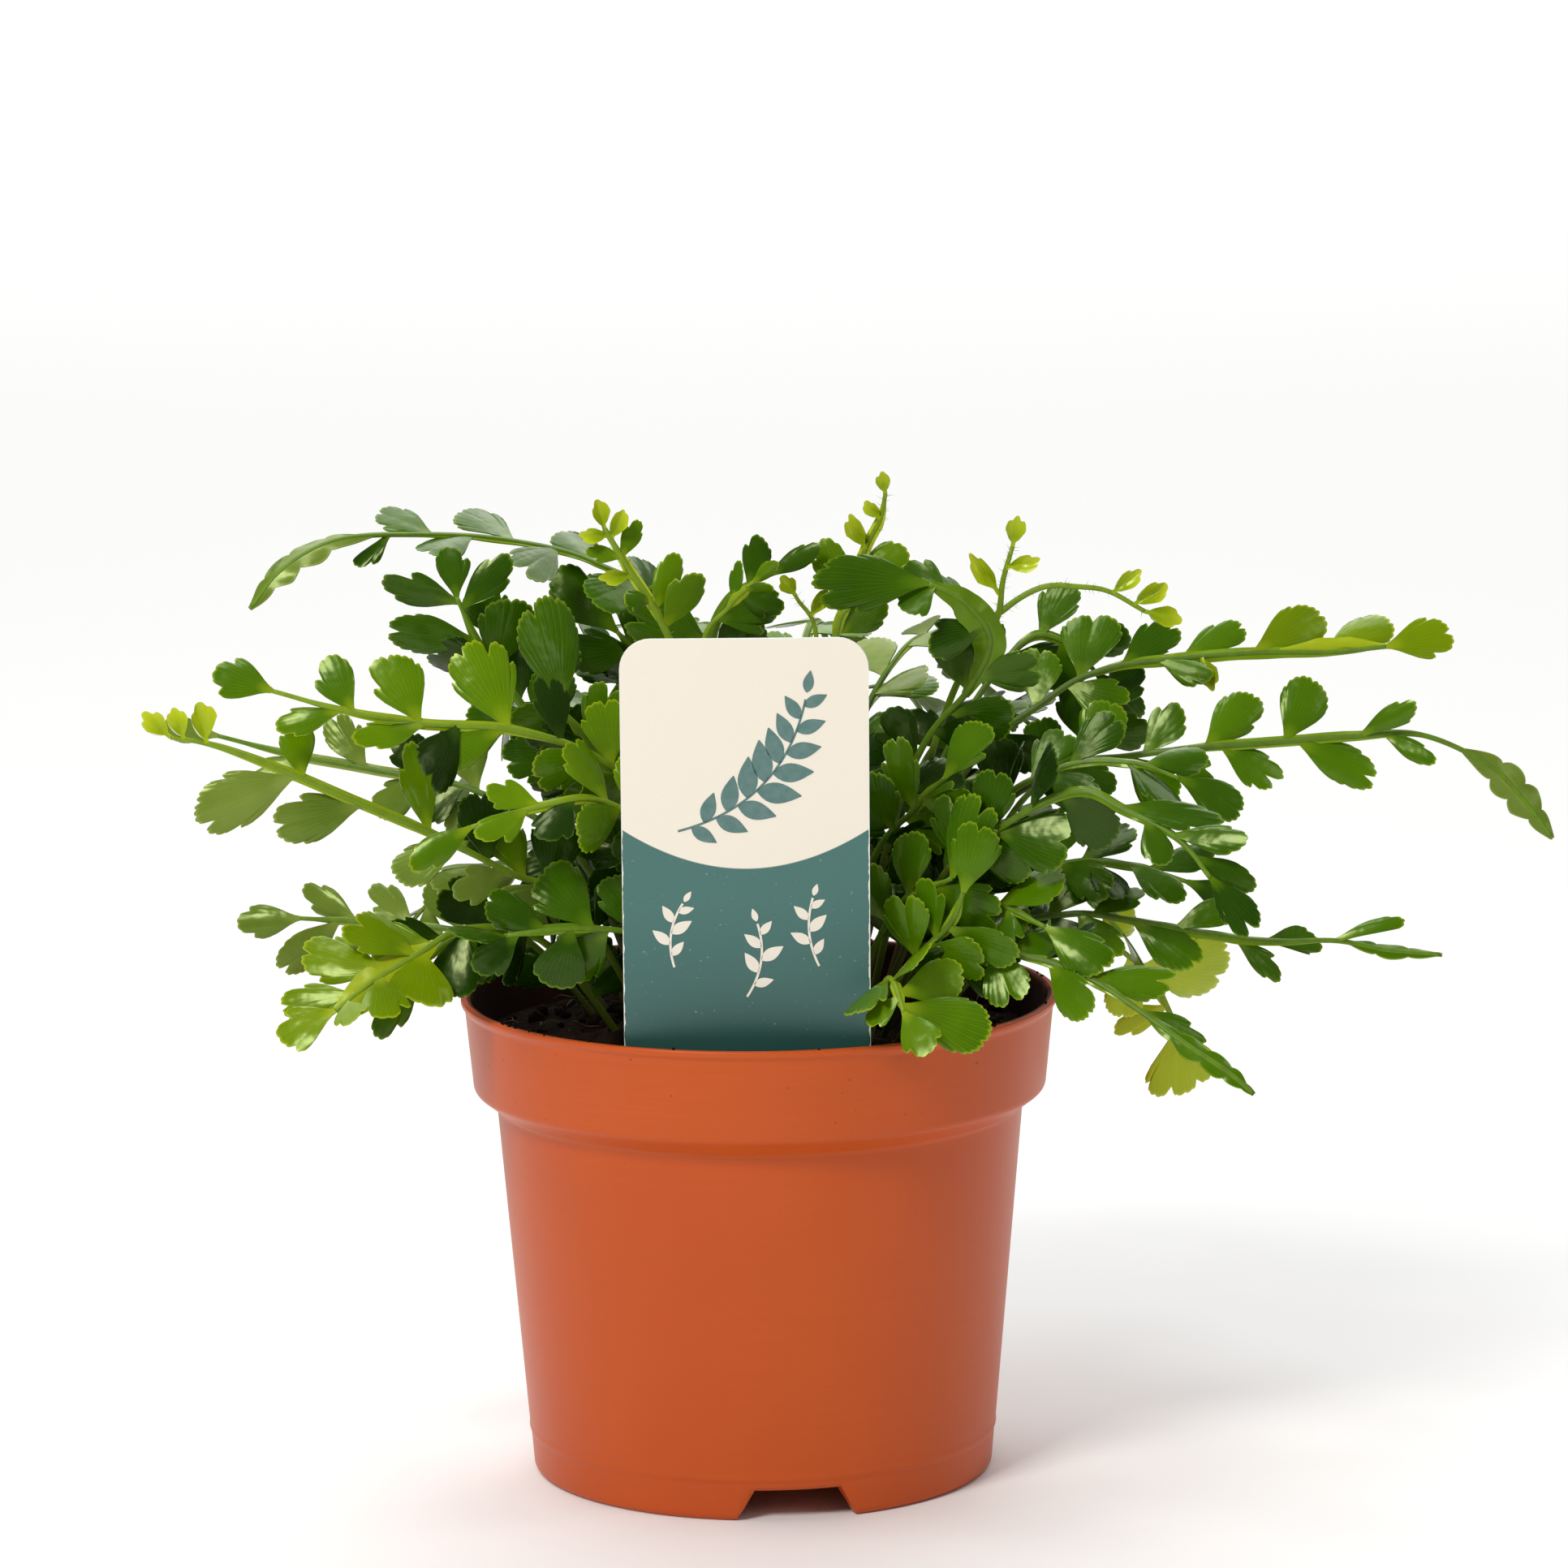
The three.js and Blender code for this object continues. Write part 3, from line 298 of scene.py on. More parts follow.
paint = Finish("terracotta_plastic", 0.38, Specular_IOR_Level=0.3)
cloud = paint.noise(22.0, 3.0)
level = paint.node("Mapping", Vector=paint.place, Scale=(30.0, 30.0, 1600.0)).outputs[0]
streak = paint.noise(1.0, 4.0, level)
flow = paint.blend(cloud, linear(184, 70, 12), linear(202, 88, 24))
skin = paint.blend(paint.ranged(streak, 0.35, 0.7, 0.0, 0.4), flow, linear(188, 78, 18))
rise = paint.node("SeparateXYZ", Vector=paint.place).outputs[2]
specks = paint.sum("MULTIPLY", paint.ranged(paint.noise(900.0), 0.735, 0.77), paint.ranged(rise, 0.055, 0.1))
skin = paint.blend(specks, skin, linear(70, 42, 30))
# The inside of the band is darkened, partly by compost dirt and partly by painted shade in the hollow under
# the lip:
# over its foot, where the radius less a tenth of the height is small, and down from a ragged line a little
# under the lip
level = paint.node("VectorMath", {"operation": "MULTIPLY"}, i0=paint.place, i1=(1, 1, 0)).outputs[0]
radius = paint.node("VectorMath", {"operation": "LENGTH"}, i0=level).outputs["Value"]
depth = paint.sum("SUBTRACT", radius, paint.sum("MULTIPLY", rise, band_inner_slope))
inner = paint.sum("MULTIPLY", paint.sum("LESS_THAN", depth, band_inner_radius * MM),
                  paint.sum("GREATER_THAN", rise, band_base * MM))
ragged = paint.sum("SUBTRACT", rise, paint.sum("MULTIPLY", paint.noise(140.0, 4.0), 0.006))
dirt_and_painted_shade = paint.sum("MULTIPLY", inner, paint.ranged(ragged, 0.0925, 0.096, 0.95, 0.5))
# Dark brown over the inside of the band: compost dirt and painted shade
skin = paint.blend(dirt_and_painted_shade, skin, linear(22, 15, 11))
dulled = paint.node("Mix", i0=dirt_and_painted_shade, i2=paint.ranged(cloud, 0.0, 1.0, 0.32, 0.46), i3=0.95).outputs[0]
terracotta = paint.wear(Base_Color=skin, Roughness=dulled, Normal=paint.relief(0.05, 0.0002, streak))

pot = put("nursery_pot", pot_all, pot_faces, [terracotta])
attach(pot, "root")
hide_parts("pot")

# The drain holes go right through the raised channel. They are cut with a Boolean, which is applied, and
# the cutters are taken away again.
round_steps = np.linspace(0, 2 * math.pi, drain_steps, endpoint=False)
circle = drain_radius * np.stack([np.cos(round_steps), np.sin(round_steps)], 1)
cutter_points, cutter_sides, cutter_caps = [], [], []
for i in range(drain_count):
    bearing = (i + 0.5) * 2 * math.pi / drain_count
    middle = drain_ring * np.array([math.cos(bearing), math.sin(bearing)])
    start = 2 * drain_steps * i
    cutter_points += [np.column_stack([circle + middle, np.full(drain_steps, height)])
                      for height in drain_heights]
    cutter_sides.append(net(2, drain_steps, start, ring=True))
    cutter_caps += [start + np.arange(drain_steps)[::-1], start + drain_steps + np.arange(drain_steps)]
cutter = put("drain_cutter", np.vstack(cutter_points), [np.vstack(cutter_sides), np.array(cutter_caps)], [])
drill = pot.modifiers.new("drain", "BOOLEAN")
drill.operation = "DIFFERENCE"
drill.solver = "EXACT"
drill.object = cutter
drilled = bpy.data.meshes.new_from_object(pot.evaluated_get(bpy.context.evaluated_depsgraph_get()))
pot.modifiers.clear()
undrilled, pot.data = pot.data, drilled
bpy.data.meshes.remove(undrilled)
bpy.data.meshes.remove(cutter.data)
drilled.name = "nursery_pot"

# The compost: dark peat with bark crumbs, pressed round the roots. It fills the pot to a little under the
# lip and rises to the middle. Its top is uneven, with loose crumbs and a few fibres lying on it.
soil_foot = 1.8
soil_edge = 88
soil_middle = 92.5
soil_rings = 46
soil_columns = 150
wave_end = 55
wave_fade = 8
swell_count = 14
swell_pitch = 1.1
swell_height = 0.22
crumb_count = 420
crumb_size = 2.2
lip_crumb_count = 26
fibre_count = 90
soil_random = np.random.default_rng(7)
swell = soil_random.uniform(-1, 1, (swell_count, 2)) * swell_pitch
swell_start = soil_random.uniform(0, 6.28, swell_count)


def soil_height(x, y):
    """Height of the compost's top: it rises from the edge by straight slopes through three rings, and adds
    one broad wave and fourteen small crossing waves, which fade out at the wall."""
    radius = np.hypot(x, y)
    rise = np.interp(radius, [0, 26, 44, 56.6], [soil_middle, soil_middle - 1, soil_edge + 1.4, soil_edge])
    broad = 0.9 * np.sin(0.31 * x + 0.6) * np.cos(0.27 * y - 0.4)
    small = sum(np.sin(a * x + b * y + c) for (a, b), c in zip(swell, swell_start)) * swell_height
    return rise + (broad + small) * np.clip((wave_end - radius) / wave_fade, 0, 1)


angles = np.linspace(0, 2 * math.pi, soil_columns, endpoint=False)
walls = np.array([(20.8, soil_foot), (24.8, 8.3), (40.2, 8.3), (45.8, 10.3), (51.5, 76.4), (56.1, 79.9)])
top_radius = np.linspace(56.4, 1.2, soil_rings)
soil_points = turned(np.vstack([walls, np.column_stack([top_radius, top_radius])]), angles)
top = soil_points[len(walls):]
top[:, :, 2] = soil_height(top[:, :, 0], top[:, :, 1])
soil_all, (soil_quads, *soil_fans) = closed_ends(soil_points, (0, 0, soil_foot),
                                                 (0, 0, float(soil_height(0.0, 0.0))))


def scattered(count, inner, outer, random):
    """Places on the ground, spread evenly over the ring between two radii."""
    radius = np.sqrt(random.uniform(inner ** 2, outer ** 2, count))
    bearing = random.uniform(0, 2 * math.pi, count)
    return radius * np.cos(bearing), radius * np.sin(bearing)


golden = (1 + math.sqrt(5)) / 2
ball = np.array([(0, s, t * golden) for s in (-1, 1) for t in (-1, 1)], float)
ball = np.vstack([ball, np.roll(ball, 1, 1), np.roll(ball, 2, 1)]) / math.hypot(1, golden)


def ball_faces():
    """The twenty triangles of the ball's twelve points: every three points at one step from each other,
    turned to face outwards."""
    near = np.linalg.norm(ball[:, None] - ball[None], axis=2) < 1.2
    trio = np.array([(a, b, c) for a in range(len(ball)) for b in range(a) for c in range(b)
                     if near[a, b] and near[b, c] and near[a, c]])
    a, b, c = ball[trio[:, 0]], ball[trio[:, 1]], ball[trio[:, 2]]
    inward = np.einsum("ij,ij->i", np.cross(b - a, c - a), a) < 0
    trio[inward] = trio[inward][:, ::-1]
    return trio


def crumbs(x, y, z, size, random):
    """Lumps of twelve points: a ball stretched differently along each axis, with each point pushed in or
    out a little, and set at a place. Gives the points and the triangles of them all."""
    stretch = size[:, None, None] * random.uniform(0.55, 1.2, (len(x), 1, 3))
    push = random.uniform(0.75, 1.15, (len(x), len(ball), 1))
    points = ball * stretch * push + np.stack([x, y, z], 1)[:, None]
    trios = ball_faces()[None] + len(ball) * np.arange(len(x))[:, None, None]
    return points.reshape(-1, 3), trios.reshape(-1, 3)


size = soil_random.uniform(0.5, 1.0, crumb_count) ** 2 * crumb_size
x, y = scattered(crumb_count, 2, 54, soil_random)
crumb_points, crumb_faces = crumbs(x, y, soil_height(x, y) + 0.15 * size, size, soil_random)
size = soil_random.uniform(0.25, 0.55, lip_crumb_count)
x, y = scattered(lip_crumb_count, pot_lip - 1.4, pot_lip - 0.4, soil_random)
lip_points, lip_faces = crumbs(x, y, pot_height + 0.2 * size, size, soil_random)


def fibres(x, y, random):
    """Thin bent threads on the compost: seven rings of three points along a curve that turns slowly, at
    the compost's height there, with a point at each end."""
    count = len(x)
    share = np.linspace(-1, 1, 9)
    length = random.uniform(3, 9, (count, 1))
    bearing = random.uniform(0, 6.28, (count, 1)) + random.uniform(-0.7, 0.7, (count, 1)) * share
    px = x[:, None] + length / 2 * share * np.cos(bearing)
    py = y[:, None] + length / 2 * share * np.sin(bearing)
    pz = soil_height(px, py) + 0.5 + random.uniform(0, 1.4, (count, 1)) * (1 - share ** 2)
    line = np.stack([px, py, pz], 2)
    aside = np.stack([-np.sin(bearing), np.cos(bearing), 0 * bearing], 2)
    width = random.uniform(0.1, 0.28, (count, 1)) * np.sqrt(np.maximum(1 - share ** 2, 0))
    sides = [line + width[:, :, None] * (math.cos(t) * aside + math.sin(t) * np.array([0, 0, 1.0]))
             for t in (0.5, 2.6, 4.7)]
    rings = np.stack(sides, 2)[:, 1:-1]
    points = np.concatenate([rings.reshape(count, 21, 3), line[:, :1], line[:, -1:]], 1)
    start = 23 * np.arange(count)[:, None, None]
    quads = (net(7, 3, ring=True)[None] + start).reshape(-1, 4)
    tips = np.array([(1, 0, 21), (2, 1, 21), (0, 2, 21), (18, 19, 22), (19, 20, 22), (20, 18, 22)])
    return points.reshape(-1, 3), quads, (tips[None] + start).reshape(-1, 3)


x, y = scattered(fibre_count, 3, 52, soil_random)
fibre_points, fibre_quads, fibre_tips = fibres(x, y, soil_random)

paint = Finish("peat", 0.95, Specular_IOR_Level=0.06)
fine = paint.noise(1300.0, 3.0)
shade = paint.blend(paint.ranged(paint.noise(170.0, 5.0), 0.35, 0.65), linear(14, 9, 6), linear(46, 33, 24))
dusty = paint.blend(paint.ranged(fine, 0.7, 0.78), shade, linear(92, 74, 56))
peat = paint.wear(Base_Color=dusty, Normal=paint.relief(0.7, 0.0008, fine))
paint = Finish("root_fibre", 0.85)
root_fibre = paint.wear(Base_Color=paint.blend(paint.noise(90.0), linear(44, 30, 20), linear(110, 84, 58)))

crumb_start = len(soil_all)
lip_start = crumb_start + len(crumb_points)
fibre_start = lip_start + len(lip_points)
soil_faces = [soil_quads, fibre_quads + fibre_start, *soil_fans, crumb_faces + crumb_start,
              lip_faces + lip_start, fibre_tips + fibre_start]
soil_slots = [np.full(len(group), place in (1, 6), int) for place, group in enumerate(soil_faces)]
compost = put("compost", np.vstack([soil_all, crumb_points, lip_points, fibre_points]), soil_faces,
              [peat, root_fibre], soil_slots)
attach(compost, "root")
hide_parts("soil")

# The plant label: printed card on a stake, pushed into the compost in front of the stems, leaning towards
# the viewer. Its face is cream over blue-green, with a worn white edge. Its print is a plain sprig.
label_width = 47.8
label_centre = -2.1
label_top = 86.7
label_corner = 6
label_thickness = 0.8
label_lean = math.radians(3.3)
label_rim_y = -48.5
label_shoulder = 90
stake_width = 18
stake_foot = -40
stake_point = 10
stake_flare = 5
card_bow = 0.25
hill_centre = -1.9
hill_side = 41.4
hill_rise = 7.8
card_columns = 25
cream = linear(242, 233, 217)
blue_green = linear(62, 110, 104)
blue_green_low = linear(46, 90, 84)


def card_half_width(t):
    """Half the card's width at a height over its shoulder: a pointed stake, a short flare, straight sides,
    and a quarter circle to the top."""
    low = np.interp(t, [stake_foot, stake_foot + stake_point, -stake_flare, 0],
                    [0.3, stake_width / 2, stake_width / 2, label_width / 2])
    up = np.clip(t - (label_top - label_corner), 0, label_corner)
    return low - label_corner + np.sqrt(np.maximum(label_corner ** 2 - up ** 2, 0))


def on_card(x, t, height):
    """A point over the card: x from its centre line, t up it and a height over its middle layer. The card
    leans forwards and bows forwards by a quarter of a millimetre between its sides."""
    bow = card_bow * (1 - (x / (label_width / 2)) ** 2) * np.clip((t + 10) / 60, 0, 1)
    forward = height + bow
    lean_y = -np.sin(label_lean) * t - np.cos(label_lean) * forward
    lean_z = np.cos(label_lean) * t - np.sin(label_lean) * forward
    return np.stack([x + label_centre, lean_y + label_rim_y, lean_z + label_shoulder], -1)


def shell(rows, columns, start=0):
    """The faces of a thin sheet: a grid over a second, reversed grid of the same size, and a strip that
    joins their four edges. Gives the upper faces, the lower faces and the strip."""
    total = rows * columns
    index = np.arange(total).reshape(rows, columns)
    border = np.concatenate([index[0, :-1], index[:-1, -1], index[-1, :0:-1], index[:0:-1, 0]])
    ahead = np.roll(border, -1)
    strip = np.stack([ahead, border, border + total, ahead + total], 1)
    return net(rows, columns, start), net(rows, columns, start + total, flip=True), strip + start


def rim_marks(rows, columns):
    """For the points of such a sheet: 1 on the upper edge, 2 on the lower edge, and 0 elsewhere."""
    mark = np.ones((rows, columns), int)
    mark[1:-1, 1:-1] = 0
    return np.concatenate([mark.ravel(), 2 * mark.ravel()])


corner_steps = label_top - label_corner + label_corner * np.sin(np.linspace(0, math.pi / 2, 9))[1:]
flare_steps = [-stake_flare - 0.2, -stake_flare, -stake_flare / 2, -0.1, 0.1]
heights = np.concatenate([np.linspace(stake_foot, stake_foot + stake_point, 4), flare_steps,
                          np.linspace(2, label_top - label_corner, 34), corner_steps])
across = np.sin(np.linspace(-1, 1, card_columns) * math.pi / 2)
half = card_half_width(heights)[:, None]
x = half * across
t = np.broadcast_to(heights[:, None], x.shape)
card_faces = shell(len(heights), card_columns)
inward = np.minimum(half - np.abs(x), label_top - t).ravel()
card_points = np.vstack([on_card(x, t, side * label_thickness / 2).reshape(-1, 3) for side in (1, -1)])

paint = Finish("printed_card", 0.42, Coat_Weight=0.15, Coat_Roughness=0.35)
across, _, rise = paint.node("SeparateXYZ", Vector=paint.place).outputs
# The line between the colours curves up to both sides, by hill_rise at the card's edge
shift = paint.sum("ADD", across, -hill_centre * MM)
hill_curve = hill_rise * MM / (label_width / 2 * MM) ** 2
bend = paint.sum("MULTIPLY", paint.sum("MULTIPLY", shift, shift), hill_curve)
line_height = (label_shoulder + hill_side) * MM
side = paint.ranged(paint.sum("SUBTRACT", rise, bend), line_height - 0.0001, line_height + 0.0001)
lower = paint.blend(paint.ranged(rise, 0.095, 0.125), blue_green_low, blue_green)
bare = paint.ranged(paint.noise(1500.0), 0.7, 0.78, 0.0, 0.35)
grainy = paint.blend(bare, paint.blend(side, lower, cream), linear(214, 214, 206))
worn = paint.ranged(paint.noise(420.0, 3.0), 0.3, 0.75, 0.05, 0.45)
edge = paint.sum("LESS_THAN", paint.attribute("inward"), worn)
printed_card = paint.wear(Base_Color=paint.blend(edge, grainy, linear(236, 234, 228)))
paint = Finish("card_core", 0.8)
fuzz = paint.blend(paint.noise(800.0), linear(206, 203, 194), linear(244, 242, 236))
card_core = paint.wear(Base_Color=fuzz)

card_slots = [np.full(len(group), place == 2, int) for place, group in enumerate(card_faces)]
card = put("plant_label", card_points, card_faces, [printed_card, card_core], card_slots,
           {"inward": np.tile(inward, 2)}, rim_marks(len(heights), card_columns))
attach(card, "root")
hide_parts("label")

# The print on the card: one arching sprig of small oval leaves on the cream, and three short sprigs on the
# blue-green. The ink stands a few hundredths of a millimetre over the card.
ink_height = 0.06
ink_depth = -0.05
sprig_lean = math.radians(50)
sprig_stem_half = 0.22


def printed_sprig(name, foot, tip, arch, leaf_count, leaf_length, leaf_width, ink_colour):
    """A flat sprig: a stem that runs from foot to tip in an arch, and pairs of leaves along it. Each leaf is
    a two-parameter patch: its half width is a sine along its length, and it leans 50 degrees from the stem.
    The stem is a patch of the same kind, long and narrow."""
    foot, tip = np.array(foot, float), np.array(tip, float)
    run = tip - foot
    aside = arch * 4 * np.array([-run[1], run[0]])

    def arched(share):
        """Points on the arch and its direction there, at shares of its run."""
        slope = run + aside * (1 - 2 * share)
        slope /= np.linalg.norm(slope, axis=1, keepdims=True)
        return foot + run * share + aside * share * (1 - share), slope

    share = np.linspace(0, 1, 2 * leaf_count + 1)[1:, None]
    spots, heading = arched(share)
    lean = sprig_lean * np.where(np.arange(len(spots)) % 2, 1.0, -1.0)
    lean[-1] = 0
    axis = np.stack([np.cos(lean) * heading[:, 0] - np.sin(lean) * heading[:, 1],
                     np.sin(lean) * heading[:, 0] + np.cos(lean) * heading[:, 1]], 1)
    length = (leaf_length * (1 - 0.45 * np.abs(2 * share[:, 0] - 0.9)))[:, None, None]
    u, v = np.meshgrid(np.linspace(0.02, 0.98, 10), np.linspace(1, -1, 5), indexing="ij")
    a = u[None] * length
    b = leaf_width / leaf_length * length / 2 * (v * np.sin(np.pi * u ** 0.8))[None]
    px = spots[:, 0, None, None] + a * axis[:, 0, None, None] - b * axis[:, 1, None, None]
    pt = spots[:, 1, None, None] + a * axis[:, 1, None, None] + b * axis[:, 0, None, None]
    stem, slope = arched(np.linspace(0, 0.97, 40)[:, None])
    halves = np.array([sprig_stem_half, -sprig_stem_half])[:, None]
    ribbon = stem[:, None] + np.stack([-slope[:, 1], slope[:, 0]], 1)[:, None] * halves
    points, groups, marks, start = [], [], [], 0
    for x, t in [*zip(px, pt), (ribbon[:, :, 0], ribbon[:, :, 1])]:
        marks.append(rim_marks(*x.shape))
        points += [on_card(x, t, label_thickness / 2 + h).reshape(-1, 3) for h in (ink_height, ink_depth)]
        groups += shell(*x.shape, start)
        start += 2 * x.size
    ink = Finish(name + "_ink", 0.45)
    faded = tuple(0.8 * c + 0.2 * 0.6 for c in ink_colour[:3]) + (1.0,)
    ink = ink.wear(Base_Color=ink.blend(ink.noise(700.0), ink_colour, faded))
    piece = put(name, np.vstack(points), groups, [ink], borders=np.concatenate(marks))
    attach(piece, "root")
    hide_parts("label")


printed_sprig("label_sprig", (-13, 49), (12, 76), -0.16, 8, 9.0, 4.2, blue_green)
printed_sprig("label_shoot_left", (-14, 22), (-12, 35), 0.12, 3, 5.0, 2.3, cream)
printed_sprig("label_shoot_middle", (0, 16), (2, 31), -0.12, 3, 5.4, 2.5, cream)
printed_sprig("label_shoot_right", (14, 22), (13, 36), 0.1, 3, 5.0, 2.3, cream)

# The fronds: wiry green stems, grooved on the side that the blade turns to, with fan-shaped leaflets in two
# rows on short stalks. Some end in a ribbon of joined leaflets, and the youngest in curled buds. They rise
# from the crown in the compost and arch outwards. The first table holds those that the front shows.
stem_radius = 0.8
stem_ease = 0.98
stem_taper = 0.42
stem_spacing = 1.8
stem_sides = 10
groove_depth = 0.34
groove_width = 0.5
root_depth = 84
stem_room = 1.3
steepest_swing = 1.3
least_half_width = 0.3
tooth_step = 0.3
tooth_depth = 0.034
corner_depth = 0.18
blade_thickness = 0.3
rays_per_tooth = 8
blade_rows = np.array([0, 0.14, 0.34, 0.56, 0.77, 0.93, 1.0])
young_rows = np.array([0, 0.25, 0.42, 0.56, 0.68, 0.8, 0.9, 0.97, 1.0])
young_columns = 25
hair_count = 70
lower_leaf = (13, 11, 54)
inner_leaf = (13, 11)
inner_step = 7
inner_first = 4
inner_last = 8
inner_half_width = 76
inner_foot = 100
inner_top = 172
inner_back = 60
beside_gap = 5
label_gap = 28
label_back = -42
# Half of the notches between a leaflet's lobes are shallow, and one in eight is deep
notch_shares = [0.5, 0.88, 1]
notch_depths = [(0.03, 0.07), (0.1, 0.2), (0.22, 0.32)]
# The wings along the stems are broader on three fronds, and one frond has a ribbon beside its end
wing_half = 1.1
wing_halves = {"frond_left_yellow": 3.6, "frond_top_leaf": 3.4, "frond_right_over": 1.3}
one_sided = {"frond_right_over": (5.3, 7, 1.7)}
one_sided_shift = 0.85
# Past a place along these fronds the blade takes another, paler tone: painted light, for the light that
# shines through the thin blade
painted_light_from = {"frond_right_over": (4.5, "yellow"), "frond_right_long": (6.9, "dull"),
             "frond_left_over": (5.5, "dull")}
# Two fronds have leaflets of another tone, and on a third those on one side of the stem are dull. The pale
# tone of frond_right_pale is painted light, for light that shines through its blades
leaf_tones = {"frond_right_pale": "pale", "frond_left_over": "deep"}
hazy_side = {"frond_left_curled": 1}
